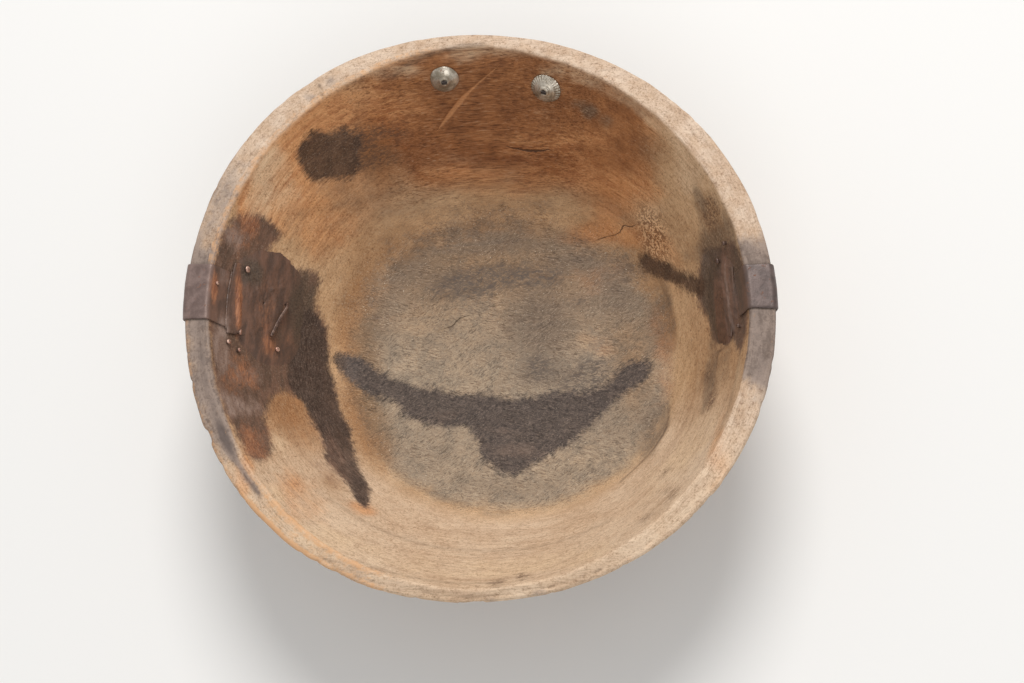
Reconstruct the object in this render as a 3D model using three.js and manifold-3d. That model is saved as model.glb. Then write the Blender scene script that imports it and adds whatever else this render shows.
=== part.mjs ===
// A carved wooden bowl, mended in sheet iron, nails and pitch, with a drop handle held by two split pins.
// Millimetres, +Z up. The origin is the middle of the foot, and +Y points to the handle's side of the rim.
// Angles go round the bowl from +X towards +Y, in degrees. Depths go down the inner wall from its lip.
import * as THREE from 'three';
import { mergeVertices } from 'three/addons/utils/BufferGeometryUtils.js';
import Module from 'manifold-3d';

const wasm = await Module();
wasm.setup();

// Driving dimensions of the bowl
const rimRadius = 200;
const rimWidth = 14.7;
const floorRadius = 112.7;
const heelWidth = 21.3;
const footRadius = 78;
const height = 130;
const floorThickness = 15;
const heelHeight = 17;
const wallBulge = 6;
const flankBulge = 14;
const coveWidth = 14;
const lipRound = 1.6;
const landFall = 2;
const arrisRound = 3;

// How far each carved ring strays from a true circle
const rimStray = { east: 0, north: 0, long: -0.4, skew: -4.75, three: 1.2, four: -1.15 };
const mouthStray = { east: 0.6, north: -2.4, long: -3.5, skew: -4.5, three: 0.5, four: 0 };
const floorStray = { east: 5.3, north: -5.3, long: 5.6, skew: -3, three: 0, four: 0 };

// Fits
const seatGap = 0.35;
const boreClearance = 0.3;

// Driving dimensions of the sheet-iron repairs
const strapThickness = 1.2;
const leftStrap = { angle: 174.4, width: 40, innerLeg: 19, outerLeg: 26 };
const rightStrap = { angle: 0.7, width: 30.5, innerLeg: 18, outerLeg: 24 };

// What is mended lies at a depth down the wall and an aside, its distance round the wall from the middle
// line of its strap. Each plate has an upper and a lower corner at its near side and at its far side.
const plateThickness = 1.1;
const leftNearTop = { depth: 20.5, aside: -28 };
const leftNearFoot = { depth: 64, aside: -39.8 };
const leftFarFoot = { depth: 77, aside: 13.9 };
const leftFarTop = { depth: 20.5, aside: 24 };
const rightNearTop = { depth: 34, aside: -24 };
const rightNearFoot = { depth: 57.5, aside: -16.2 };
const rightFarFoot = { depth: 43, aside: 33.7 };
const rightFarTop = { depth: 19.8, aside: 20.3 };

// Driving dimensions of the pitch: how far it spreads, in equal steps of direction from its middle,
// starting up the wall and turning towards falling asides
const pitchThickness = 1.5;
const pitchEdge = 0.9;
const pitchSlump = 4;
const leftPitch = { depth: 53, aside: -8.4, spread: [29, 36, 38, 40, 40, 46, 42, 36] };
const rightPitch = { depth: 42, aside: 5.2, spread: [19, 25, 31, 29, 26, 27, 34, 28] };

// Driving dimensions of the nails
const nailShank = 1.25;
const nailHead = 4;
const nailHeadFlat = 1.8;
const nailHeadEdge = 0.5;
const nailHeadHeight = 1.7;
const nailSeatDepth = 1.2;
const nailPoint = 0.45;
const nailTaper = 3;
const clinchRise = 1.6;
const clinchBends = [0.1, 0.22, 0.5, 0.76, 1];
const leftStrapNail = { depth: 7, aside: -8, stands: 3.2 };
const leftPatchNail1 = { depth: 30.8, aside: -26.3, stands: 4.6 };
const leftPatchNail2 = { depth: 30.2, aside: 20.6, stands: 4.6 };
const leftPatchNail3 = { depth: 21.5, aside: 30.7, stands: 2.6 };
const leftPatchNail4 = { depth: 31, aside: 34, stands: 3.2 };
const leftPatchNail5 = { depth: 69.8, aside: 21.6, stands: 3.6 };
const leftClinchedNail = { depth: 73.5, aside: -14.6, tipDepth: 61, tipAside: 14.1 };
const rightPatchNail1 = { depth: 35.2, aside: 30.4, stands: 4.4 };
const rightPatchNail2 = { depth: 20.4, aside: 38.5, stands: 2.8 };
const rightPatchNail3 = { depth: 19.8, aside: -21.3, stands: 2.8 };

// Driving dimensions of the rosettes and the split pins
const rosetteSheet = 0.9;
const rosetteRim = 0.6;
const rosetteEdge = 1.1;
const rosetteRise = 2.9;
const bossRadius = 3.9;
const bossFlat = 2.7;
const bossRise = 1.6;
const bossCrown = 0.4;
const fluteDepth = 0.35;
const leftRosette = { depth: 22, angle: 97.5, radius: 10, flutes: 0 };
const rightRosette = { depth: 25.5, angle: 73.5, radius: 11, flutes: 30 };
const pinStrip = 1.7;
const pinSlit = 0.5;
const pinWidth = 4;
const pinStands = 1.3;
const pinTip = 0.55;
const eyeHole = 3.4;
const eyeSeat = 0.8;

// Driving dimensions of the handle
const bailRod = 2.4;
const bailEndPast = 6;
const bailStraight = 5.5;
const bailShoulder = 5.5;
const bailDrop = 43;
const bailSide = 32;
const bailBase = 0.6;
const bailKnob = 3;

// Fineness of the facets
const bowlFacets = 72;
const bowlFineness = [1, 4, 6, 2, 2, 3, 7, 5, 1];
const strapSteps = [5, 5, 3, 4, 4];
const plateRows = 5;
const moundColumns = 24;
const moundRings = [0, 0.5, 0.8, 0.94, 1];
const nailFacets = 8;
const clinchSteps = 22;
const rosetteFacets = 30;
const eyeFacets = 12;
const bailSteps = 38;
const rodFacets = 8;

// Points nearer than this are one point
const weld = 1e-4;

const degrees = Math.PI / 180;
const mix = THREE.MathUtils.lerp;
const clamp = THREE.MathUtils.clamp;
const vector = (x, y, z) => new THREE.Vector3(x, y, z);

// The bowl's section, from the middle of the floor up the wall, over the rim and down to the foot
const rimHeight = height - landFall - arrisRound;
const heelRadius = floorRadius + heelWidth;
const lip = new THREE.Vector2(rimRadius - rimWidth, height);
const crease = new THREE.Vector2(floorRadius, floorThickness);
const wallMiddle = lip.clone().add(crease).multiplyScalar(0.5).add(new THREE.Vector2(wallBulge, 0));
const wallTop = lip.clone().addScaledVector(lip.clone().sub(wallMiddle).normalize(), -lipRound);
const wallFoot = crease.clone().addScaledVector(wallMiddle.clone().sub(crease).normalize(), coveWidth);
const arris = new THREE.Vector2(rimRadius, rimHeight);
const heel = new THREE.Vector2(heelRadius, heelHeight);
const flankMiddle = arris.clone().add(heel).multiplyScalar(0.5).add(new THREE.Vector2(flankBulge, 0));
const heelLean = heel.clone().sub(flankMiddle).normalize();
const heelTurn = heel.clone().addScaledVector(heelLean, -heelHeight / heelLean.y);

const hollow = new THREE.Path();
hollow.moveTo(0, floorThickness);
hollow.lineTo(floorRadius - coveWidth, floorThickness);
hollow.quadraticCurveTo(crease.x, crease.y, wallFoot.x, wallFoot.y);
hollow.quadraticCurveTo(wallMiddle.x, wallMiddle.y, wallTop.x, wallTop.y);
hollow.quadraticCurveTo(lip.x, lip.y, lip.x + lipRound, lip.y);

const section = hollow.clone();
section.lineTo(rimRadius - arrisRound, height - landFall);
section.quadraticCurveTo(rimRadius, height - landFall, arris.x, arris.y);
section.quadraticCurveTo(flankMiddle.x, flankMiddle.y, heel.x, heel.y);
section.quadraticCurveTo(heelTurn.x, heelTurn.y, footRadius, 0);
section.lineTo(0, 0);

// The lip is the fourth curve of the section, and the land and the arris follow it
const sectionLength = section.getLength();
const lipAt = hollow.getLength();
const [lipLength, landLength, arrisLength] = section.curves.slice(3, 6).map((curve) => curve.getLength());
const arrisAt = lipAt + landLength;
const wallRadius = (depth) => section.getPoint((lipAt - depth) / sectionLength).x;

function strayOf(ring, angle) {
  const shifted = ring.east * Math.cos(angle) + ring.north * Math.sin(angle);
  const oval = ring.long * Math.cos(2 * angle) + ring.skew * Math.sin(2 * angle);
  return shifted + oval + ring.three * Math.cos(3 * angle) + ring.four * Math.cos(4 * angle);
}

// How far a point of the section moves out at an angle: the rings of floor, mouth and rim blend
function stray(point, at, angle) {
  const floor = strayOf(floorStray, angle);
  const mouth = strayOf(mouthStray, angle);
  const rim = strayOf(rimStray, angle);
  if (at <= lipAt) {
    const climb = clamp((point.y - floorThickness) / (height - floorThickness), 0, 1);
    return mix(floor, mouth, climb) * clamp(point.x / floorRadius, 0, 1);
  }
  if (at <= arrisAt) {
    return mix(mouth, rim, (at - lipAt) / landLength);
  }
  return mix(floor, rim, clamp(point.y / rimHeight, 0, 1)) * clamp(point.x / heelRadius, 0, 1);
}

// The place on the bowl at a distance along the section and an angle
function surface(at, angle) {
  const point = section.getPoint(at / sectionLength);
  const radius = point.x + stray(point, at, angle);
  return vector(radius * Math.cos(angle), radius * Math.sin(angle), point.y);
}

// The same place lifted off the wood, with the way out of the wood
function onBowl(at, angleInDegrees, lift = 0) {
  const angle = angleInDegrees * degrees;
  const nudge = 0.05;
  const turn = nudge / rimRadius;
  const along = surface(at + nudge, angle).sub(surface(at - nudge, angle));
  const around = surface(at, angle + turn).sub(surface(at, angle - turn));
  const out = along.cross(around).normalize();
  return { place: surface(at, angle).addScaledVector(out, lift), out };
}

const onWall = (depth, angle, lift = 0) => onBowl(lipAt - depth, angle, lift);

// The same, beside a strap's middle line
const besideStrap = (strap, depth, aside, lift = 0) => (
  onWall(depth, strap.angle + aside / wallRadius(depth) / degrees, lift)
);

// A closed mesh becomes a solid, which joins and cuts
function solidOf(geometry) {
  const bare = new THREE.BufferGeometry();
  bare.setAttribute('position', geometry.attributes.position);
  bare.setIndex(geometry.index);
  const merged = mergeVertices(bare, weld);
  const corners = merged.index.array;
  const kept = [];
  for (let i = 0; i < corners.length; i += 3) {
    const [a, b, c] = corners.slice(i, i + 3);
    if (a !== b && b !== c && c !== a) {
      kept.push(a, b, c);
    }
  }
  const mesh = new wasm.Mesh({
    numProp: 3,
    vertProperties: new Float32Array(merged.attributes.position.array),
    triVerts: new Uint32Array(kept),
  });
  return new wasm.Manifold(mesh);
}

// A solid becomes a mesh again
function geometryOf(solid) {
  const mesh = solid.getMesh();
  const geometry = new THREE.BufferGeometry();
  geometry.setAttribute('position', new THREE.BufferAttribute(new Float32Array(mesh.vertProperties), 3));
  geometry.setIndex(new THREE.BufferAttribute(new Uint32Array(mesh.triVerts), 1));
  geometry.computeVertexNormals();
  return geometry;
}

const cut = (solid, tools) => tools.reduce((rest, tool) => rest.subtract(tool), solid);

// A skin between two sheets of points that have the same rows and columns. A wrapped one closes in a ring.
function skin(under, over, wrapped = false) {
  const rows = under.length;
  const columns = under[0].length;
  const positions = [under, over].flat(2).flatMap((point) => point.toArray());
  const lower = (row, column) => row * columns + (column % columns);
  const upper = (row, column) => rows * columns + lower(row, column);
  const index = [];
  const face = (a, b, c, d) => index.push(a, b, c, a, c, d);
  const spans = wrapped ? columns : columns - 1;
  for (let column = 0; column < spans; column += 1) {
    const next = column + 1;
    for (let row = 0; row < rows - 1; row += 1) {
      face(upper(row, column), upper(row, next), upper(row + 1, next), upper(row + 1, column));
      face(lower(row, column), lower(row + 1, column), lower(row + 1, next), lower(row, next));
    }
    face(lower(0, column), lower(0, next), upper(0, next), upper(0, column));
    face(lower(rows - 1, next), lower(rows - 1, column), upper(rows - 1, column), upper(rows - 1, next));
  }
  for (let row = 0; row < rows - 1 && !wrapped; row += 1) {
    face(lower(row + 1, 0), lower(row, 0), upper(row, 0), upper(row + 1, 0));
    face(lower(row, spans), lower(row + 1, spans), upper(row + 1, spans), upper(row, spans));
  }
  const geometry = new THREE.BufferGeometry();
  geometry.setAttribute('position', new THREE.Float32BufferAttribute(positions, 3));
  geometry.setIndex(index);
  return geometry;
}

// A shape turned about +Z, from pairs of radius and height that climb
function turned(profile, facets) {
  const points = profile.map(([radius, level]) => new THREE.Vector2(radius, level));
  return new THREE.LatheGeometry(points, facets).rotateX(Math.PI / 2);
}

// The frame of a place on the wall: X goes round the bowl, Y climbs the wall and Z leaves the wood
function frameAt({ place, out }) {
  const aside = vector(0, 0, 1).cross(out).normalize();
  const climb = out.clone().cross(aside);
  return new THREE.Matrix4().makeBasis(aside, climb, out).setPosition(place);
}

function carvedForm() {
  const stations = [];
  let at = 0;
  section.curves.forEach((curve, number) => {
    const steps = bowlFineness[number];
    for (let step = 0; step < steps; step += 1) {
      stations.push({ point: curve.getPointAt(step / steps), at });
      at += curve.getLength() / steps;
    }
  });
  stations.push({ point: new THREE.Vector2(0, 0), at });
  stations.reverse();
  const geometry = turned(stations.map(({ point }) => point.toArray()), bowlFacets);
  const position = geometry.attributes.position;
  for (let i = 0; i < position.count; i += 1) {
    const station = stations[i % stations.length];
    const angle = Math.atan2(position.getY(i), position.getX(i));
    const radius = station.point.x > 0 ? station.point.x + stray(station.point, station.at, angle) : 0;
    position.setXY(i, radius * Math.cos(angle), radius * Math.sin(angle));
  }
  return geometry;
}

const carved = carvedForm();
const carvedTarget = new THREE.Mesh(carved, new THREE.MeshBasicMaterial({ side: THREE.DoubleSide }));

// How thick the wood is behind a place on the inner wall, square to the wall
function woodBehind({ place, out }) {
  const margin = 2;
  const start = place.clone().addScaledVector(out, margin);
  const hits = new THREE.Raycaster(start, out.clone().negate()).intersectObject(carvedTarget);
  return hits.find(({ distance }) => distance > 2 * margin).distance - margin;
}

// Sheet-iron strap folded over the rim
function strap({ angle, width, innerLeg, outerLeg }) {
  const outside = [arrisAt + outerLeg, arrisAt + arrisLength, arrisAt];
  const folds = [...outside, lipAt, lipAt - lipLength, lipAt - innerLeg];
  const rows = strapSteps.flatMap((steps, fold) => (
    Array.from({ length: steps }, (_, step) => mix(folds[fold], folds[fold + 1], step / steps))
  ));
  rows.push(folds.at(-1));
  const sheet = (lift) => rows.map((at) => {
    const radius = section.getPoint(at / sectionLength).x;
    return Array.from({ length: plateRows + 1 }, (__, column) => {
      const aside = (column / plateRows - 0.5) * width;
      return onBowl(at, angle + aside / radius / degrees, lift).place;
    });
  });
  return skin(sheet(seatGap), sheet(seatGap + strapThickness));
}

// Sheet-iron patch between four corners beside a strap, grown by a margin on all sides
function patch(strap, [nearTop, nearFoot, farFoot, farTop], low, high, margin = 0) {
  const between = (key, down, across) => (
    mix(mix(nearTop[key], nearFoot[key], down), mix(farTop[key], farFoot[key], down), across)
  );
  const outward = (share) => Math.sign(share - 0.5) * margin;
  const ends = [0, 1];
  const steps = Array.from({ length: plateRows + 1 }, (_, step) => step / plateRows);
  const sheet = (lift) => steps.map((down) => steps.map((across) => {
    const depth = between('depth', down, across) + (ends.includes(down) ? outward(down) : 0);
    const aside = between('aside', down, across) + (ends.includes(across) ? outward(across) : 0);
    return besideStrap(strap, depth, aside, lift).place;
  }));
  return skin(sheet(low), sheet(high));
}

// Pitch poured over a patch: a low mound with a ragged edge
function mound(strap, { depth, aside, spread }) {
  const crown = seatGap + plateThickness + seatGap + pitchThickness;
  const edge = new THREE.CatmullRomCurve3(spread.map((reach, step) => {
    const turn = (step / spread.length) * 2 * Math.PI;
    return vector(-Math.cos(turn) * reach, -Math.sin(turn) * reach, 0);
  }), true);
  const outline = edge.getPoints(moundColumns).slice(0, moundColumns);
  const sheet = (liftAt) => moundRings.map((share) => outline.map((point) => (
    besideStrap(strap, depth + point.x * share, aside + point.y * share, liftAt(share)).place
  )));
  return skin(sheet(() => seatGap), sheet((share) => mix(crown, pitchEdge, share ** pitchSlump)), true);
}

// A wrought nail driven from outside, and the space that it needs in what it goes through
function nail(strap, { depth, aside, stands }) {
  const seat = besideStrap(strap, depth, aside);
  const frame = frameAt(seat);
  const under = nailSeatDepth - woodBehind(seat);
  const body = turned([
    [0, under - nailHeadHeight],
    [nailHeadFlat, under - nailHeadHeight],
    [nailHead, under - nailHeadEdge],
    [nailHead, under],
    [nailShank, under],
    [nailShank, stands - nailTaper],
    [nailPoint, stands],
    [0, stands],
  ], nailFacets);
  const boreRadius = nailShank + boreClearance;
  const headRadius = nailHead + boreClearance;
  const outside = under - 4 * nailHeadHeight;
  const space = turned([
    [0, outside],
    [headRadius, outside],
    [headRadius, under + boreClearance],
    [boreRadius, under + boreClearance],
    [boreRadius, stands + nailTaper],
    [0, stands + nailTaper],
  ], nailFacets);
  return { body: solidOf(body.applyMatrix4(frame)), space: solidOf(space.applyMatrix4(frame)) };
}

// A long nail bent over and hammered down along the pitch
function clinchedNail(strap, { depth, aside, tipDepth, tipAside }) {
  const lift = seatGap + plateThickness + seatGap + pitchThickness + seatGap + nailShank;
  const straight = nail(strap, { depth, aside, stands: lift + nailTaper });
  const root = lift - nailShank;
  const run = clinchBends.map((share) => {
    const rise = lift + clinchRise * (1 - share);
    return besideStrap(strap, mix(depth, tipDepth, share), mix(aside, tipAside, share), rise).place;
  });
  const rises = [root, (root + lift + 2 * clinchRise) / 2];
  const neck = rises.map((rise) => besideStrap(strap, depth, aside, rise).place);
  const route = new THREE.CatmullRomCurve3([...neck, ...run]);
  const round = new THREE.Shape().absarc(0, 0, nailShank, 0, 2 * Math.PI);
  const bent = new THREE.ExtrudeGeometry(round, {
    curveSegments: nailFacets / 2,
    steps: clinchSteps,
    extrudePath: route,
  });
  const top = lift + 2 * nailTaper;
  const above = turned([[0, root], [nailHead, root], [nailHead, top], [0, top]], nailFacets);
  above.applyMatrix4(frameAt(besideStrap(strap, depth, aside)));
  const stump = straight.body.subtract(solidOf(above));
  return { body: stump.add(solidOf(bent)), space: straight.space };
}

// Thin domed washer with a boss, fluted round its edge where it has flutes. The flat edge of a washer rests
// on the hollow wall by its two sides, so its middle stands off by the wall's bow over the washer's width.
function rosette({ depth, angle, radius, flutes }) {
  const seat = onWall(depth, angle);
  const lift = seatGap + radius ** 2 / (2 * wallRadius(depth));
  const flange = radius - 2 * rosetteSheet;
  const whole = rosetteRise + bossRise;
  const shape = turned([
    [0, whole - rosetteSheet],
    [bossRadius - rosetteSheet, rosetteRise],
    [flange - rosetteSheet, rosetteEdge],
    [flange, 0],
    [radius, 0],
    [radius, rosetteRim],
    [flange, rosetteEdge + rosetteRim],
    [bossRadius, rosetteRise + rosetteSheet],
    [bossFlat, whole],
    [0, whole + bossCrown],
  ], flutes > 0 ? 2 * flutes : rosetteFacets);
  const position = shape.attributes.position;
  for (let i = 0; i < position.count && flutes > 0; i += 1) {
    const turn = Math.atan2(position.getY(i), position.getX(i));
    const out = Math.hypot(position.getX(i), position.getY(i));
    const depthHere = out > flange - rosetteSheet / 2 ? fluteDepth * (1 - Math.cos(flutes * turn)) : 0;
    const groove = out > 0 ? 1 - depthHere / out : 1;
    position.setXY(i, position.getX(i) * groove, position.getY(i) * groove);
  }
  const slotHeight = 2 * (pinStrip + boreClearance) + pinSlit;
  const slotWidth = pinWidth + 2 * boreClearance;
  const slot = new THREE.BoxGeometry(slotWidth, slotHeight, 4 * whole);
  const washer = solidOf(shape).subtract(solidOf(slot));
  const frame = frameAt({ place: seat.place.clone().addScaledVector(seat.out, lift), out: seat.out });
  return { body: solidOf(geometryOf(washer).applyMatrix4(frame)), top: lift + whole };
}

// Split pin: a strip bent round into an eye outside the bowl, its legs through the wall and the rosette
function splitPin({ depth, angle }, top) {
  const seat = onWall(depth, angle);
  const frame = frameAt(seat);
  const wood = woodBehind(seat);
  const eyeRadius = eyeHole + pinStrip;
  const eyeAt = -(wood + eyeSeat + eyeRadius);
  const legs = pinStrip + pinSlit / 2;
  const tip = top + pinStands;
  const outerTurn = Math.asin(legs / eyeRadius);
  const innerTurn = Math.asin(pinSlit / 2 / eyeHole);
  const strip = new THREE.Shape();
  strip.moveTo(tip - pinStrip / 2, legs);
  strip.absarc(eyeAt, 0, eyeRadius, outerTurn, 2 * Math.PI - outerTurn, false);
  strip.lineTo(tip - pinStrip / 2, -legs);
  strip.lineTo(tip, -pinSlit / 2 - pinTip);
  strip.lineTo(tip, -pinSlit / 2);
  strip.absarc(eyeAt, 0, eyeHole, -innerTurn, innerTurn, true);
  strip.lineTo(tip, pinSlit / 2);
  strip.lineTo(tip, pinSlit / 2 + pinTip);
  const body = new THREE.ExtrudeGeometry(strip, {
    depth: pinWidth,
    bevelEnabled: false,
    curveSegments: eyeFacets,
  });
  body.translate(0, 0, -pinWidth / 2);
  body.applyMatrix4(new THREE.Matrix4().makeBasis(vector(0, 0, 1), vector(0, 1, 0), vector(-1, 0, 0)));
  const reach = 4 * wood;
  const space = new THREE.BoxGeometry(pinWidth + 2 * boreClearance, 2 * (legs + boreClearance), reach);
  return {
    body: solidOf(body.applyMatrix4(frame)),
    space: solidOf(space.applyMatrix4(frame)),
    eye: vector(0, 0, eyeAt).applyMatrix4(frame),
  };
}

// Drop handle that hangs in the two eyes: the rod goes in through each eye from outside and ends in a knob
function bail(firstEye, secondEye) {
  const along = secondEye.clone().sub(firstEye);
  const half = along.length() / 2;
  along.normalize();
  const down = vector(0, 0, -1).addScaledVector(along, along.z).normalize();
  const middle = firstEye.clone().add(secondEye).multiplyScalar(0.5);
  const at = (x, y) => middle.clone().addScaledVector(along, x).addScaledVector(down, y);
  const end = half - bailEndPast;
  const turnAt = half + bailStraight;
  const side = turnAt + bailShoulder;
  const arm = (sign) => [
    [at(sign * end, 0), at(sign * turnAt, 0)],
    [at(sign * turnAt, 0), at(sign * side, 0), at(sign * side, bailShoulder)],
    [
      at(sign * side, bailShoulder),
      at(sign * side, bailSide),
      at(sign * side * bailBase, bailDrop),
      at(0, bailDrop),
    ],
  ];
  const curves = { 2: THREE.LineCurve3, 3: THREE.QuadraticBezierCurve3, 4: THREE.CubicBezierCurve3 };
  const stretches = [...arm(-1), ...arm(1).reverse().map((points) => points.reverse())];
  const route = new THREE.CurvePath();
  route.curves = stretches.map((points) => new curves[points.length](...points));
  const round = new THREE.Shape().absarc(0, 0, bailRod, 0, 2 * Math.PI);
  const rod = new THREE.ExtrudeGeometry(round, {
    curveSegments: rodFacets / 2,
    steps: bailSteps,
    extrudePath: route,
  });
  const knobs = [-end, end].map((x) => {
    const knob = new THREE.SphereGeometry(bailKnob, rodFacets, rodFacets / 2);
    return solidOf(knob.translate(...at(x, 0).toArray()));
  });
  return knobs.reduce((joined, knob) => joined.add(knob), solidOf(rod));
}

// The pieces, each cut for what goes through it
const rosetteLeft = rosette(leftRosette);
const rosetteRight = rosette(rightRosette);
const pinLeft = splitPin(leftRosette, rosetteLeft.top);
const pinRight = splitPin(rightRosette, rosetteRight.top);
const nails = {
  left_strap_nail: nail(leftStrap, leftStrapNail),
  left_clinched_nail: clinchedNail(leftStrap, leftClinchedNail),
  left_patch_nail_1: nail(leftStrap, leftPatchNail1),
  left_patch_nail_2: nail(leftStrap, leftPatchNail2),
  left_patch_nail_3: nail(leftStrap, leftPatchNail3),
  left_patch_nail_4: nail(leftStrap, leftPatchNail4),
  left_patch_nail_5: nail(leftStrap, leftPatchNail5),
  right_patch_nail_1: nail(rightStrap, rightPatchNail1),
  right_patch_nail_2: nail(rightStrap, rightPatchNail2),
  right_patch_nail_3: nail(rightStrap, rightPatchNail3),
};

const nailSpaces = Object.values(nails).map(({ space }) => space);
const leftCorners = [leftNearTop, leftNearFoot, leftFarFoot, leftFarTop];
const rightCorners = [rightNearTop, rightNearFoot, rightFarFoot, rightFarTop];

function plate(strap, corners) {
  return cut(solidOf(patch(strap, corners, seatGap, seatGap + plateThickness)), nailSpaces);
}

function seal(strap, corners, pitched) {
  const room = patch(strap, corners, -seatGap, 2 * seatGap + plateThickness, seatGap);
  return cut(solidOf(mound(strap, pitched)), [solidOf(room), ...nailSpaces]);
}

const wood = { color: 0xb98e68, roughness: 0.7, metalness: 0 };
const strapIron = { color: 0x7d6c66, roughness: 0.5, metalness: 0.6 };
const rustyIron = { color: 0x6b4a3a, roughness: 0.7, metalness: 0.4 };
const nailIron = { color: 0x8d7a6c, roughness: 0.45, metalness: 0.7 };
const pitch = { color: 0x45342b, roughness: 0.35, metalness: 0 };
const silver = { color: 0xb5ab9c, roughness: 0.4, metalness: 0.85 };
const forgedIron = { color: 0x5b5350, roughness: 0.55, metalness: 0.7 };

const pieces = {
  bowl: [cut(solidOf(carved), [...nailSpaces, pinLeft.space, pinRight.space]), wood],
  left_rim_strap: [cut(solidOf(strap(leftStrap)), nailSpaces), strapIron],
  right_rim_strap: [cut(solidOf(strap(rightStrap)), nailSpaces), strapIron],
  left_patch_plate: [plate(leftStrap, leftCorners), rustyIron],
  right_patch_plate: [plate(rightStrap, rightCorners), rustyIron],
  left_pitch_seal: [seal(leftStrap, leftCorners, leftPitch), pitch],
  right_pitch_seal: [seal(rightStrap, rightCorners, rightPitch), pitch],
  left_rosette: [rosetteLeft.body, silver],
  right_rosette: [rosetteRight.body, silver],
  left_split_pin: [pinLeft.body, forgedIron],
  right_split_pin: [pinRight.body, forgedIron],
  bail_handle: [bail(pinLeft.eye, pinRight.eye), forgedIron],
};
Object.entries(nails).forEach(([name, { body }]) => {
  pieces[name] = [body, nailIron];
});

const vessel = new THREE.Group();
Object.entries(pieces).forEach(([name, [solid, finish]]) => {
  const mesh = new THREE.Mesh(geometryOf(solid), new THREE.MeshStandardMaterial(finish));
  mesh.name = name;
  vessel.add(mesh);
});

export default vessel;
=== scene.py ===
import math

import bmesh
import bpy
import numpy as np
from mathutils import Matrix, Vector, noise


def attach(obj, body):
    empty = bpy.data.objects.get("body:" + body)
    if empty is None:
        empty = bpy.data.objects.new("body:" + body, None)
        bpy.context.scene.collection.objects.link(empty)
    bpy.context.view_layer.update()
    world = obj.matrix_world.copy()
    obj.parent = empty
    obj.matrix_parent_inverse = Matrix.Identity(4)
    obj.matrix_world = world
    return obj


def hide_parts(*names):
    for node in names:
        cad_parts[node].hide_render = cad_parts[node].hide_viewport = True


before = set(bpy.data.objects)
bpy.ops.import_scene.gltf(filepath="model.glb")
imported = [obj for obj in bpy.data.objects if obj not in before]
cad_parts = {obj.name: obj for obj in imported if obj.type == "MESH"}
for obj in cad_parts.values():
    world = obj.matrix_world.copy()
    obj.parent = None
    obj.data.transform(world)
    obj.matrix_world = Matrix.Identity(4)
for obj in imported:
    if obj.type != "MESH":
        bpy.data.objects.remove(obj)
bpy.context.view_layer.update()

# Lengths are in millimetres up to the moment a mesh is made, as in the model.
METRES = 0.001

# Camera
camera_data = bpy.data.cameras.new("camera")
camera_data.lens = 70.0
camera_data.sensor_width = 36.0
camera_data.clip_start = 0.05
camera_data.clip_end = 50.0
camera = bpy.data.objects.new("camera", camera_data)
bpy.context.collection.objects.link(camera)
right = Vector((0.98902, 0.0, -0.14781))
up = Vector((0.04618, 0.94993, 0.30902))
back = Vector((0.14041, -0.31245, 0.93950))
stand = Vector((210.92, -435.92, 1356.82)) * METRES
camera.matrix_world = Matrix.Translation(stand) @ Matrix((right, up, back)).transposed().to_4x4()
bpy.context.scene.camera = camera

# The bowl's surface, by the same section and strays as the model
RIM, RIM_WIDTH, FLOOR, HEEL_WIDTH, FOOT, HEIGHT = 200.0, 14.7, 112.7, 21.3, 78.0, 130.0
THICK, HEEL_HEIGHT, WALL_BULGE, FLANK_BULGE, COVE = 15.0, 17.0, 6.0, 14.0, 14.0
LIP_ROUND, LAND_FALL, ARRIS = 1.6, 2.0, 3.0
SEAT, PLATE, PITCH, STRAP = 0.35, 1.1, 1.5, 1.2
RIM_HEIGHT = HEIGHT - LAND_FALL - ARRIS
HEEL = FLOOR + HEEL_WIDTH

# East, north, long, skew, three and four: how each ring strays from a circle
RIM_STRAY = (0.0, 0.0, -0.4, -4.75, 1.2, -1.15)
MOUTH_STRAY = (0.6, -2.4, -3.5, -4.5, 0.5, 0.0)
FLOOR_STRAY = (5.3, -5.3, 5.6, -3.0, 0.0, 0.0)


def bend(a, b, c, count=160):
    """Points of a quadratic curve."""
    t = np.linspace(0, 1, count)[:, None]
    return (1 - t) ** 2 * np.array(a) + 2 * t * (1 - t) * np.array(b) + t * t * np.array(c)


def unit(v):
    return v / np.linalg.norm(v)


lip = np.array([RIM - RIM_WIDTH, HEIGHT])
crease = np.array([FLOOR, THICK])
wall_middle = (lip + crease) / 2 + [WALL_BULGE, 0]
wall_top = lip - LIP_ROUND * unit(lip - wall_middle)
wall_foot = crease + COVE * unit(wall_middle - crease)
arris = np.array([RIM, RIM_HEIGHT])
heel = np.array([HEEL, HEEL_HEIGHT])
flank_middle = (arris + heel) / 2 + [FLANK_BULGE, 0]
heel_lean = unit(heel - flank_middle)
heel_turn = heel - heel_lean * HEEL_HEIGHT / heel_lean[1]
stretches = [
    np.array([[0, THICK], [FLOOR - COVE, THICK]]),
    bend((FLOOR - COVE, THICK), crease, wall_foot),
    bend(wall_foot, wall_middle, wall_top),
    bend(wall_top, lip, lip + [LIP_ROUND, 0]),
    np.array([lip + [LIP_ROUND, 0], [RIM - ARRIS, HEIGHT - LAND_FALL]]),
    bend((RIM - ARRIS, HEIGHT - LAND_FALL), (RIM, HEIGHT - LAND_FALL), arris),
    bend(arris, flank_middle, heel),
    bend(heel, heel_turn, (FOOT, 0)),
    np.array([[FOOT, 0], [0, 0]]),
]
section = np.vstack([stretches[0][:1]] + [s[1:] for s in stretches])
reach = np.r_[0, np.hypot(*np.diff(section, axis=0).T).cumsum()]
ends = np.cumsum([np.hypot(*np.diff(s, axis=0).T).sum() for s in stretches])
COVE_AT, WALL_AT, WALL_END, LIP_AT, LAND_END, ARRIS_END, FLANK_END, HEEL_END, LAST = ends


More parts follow.
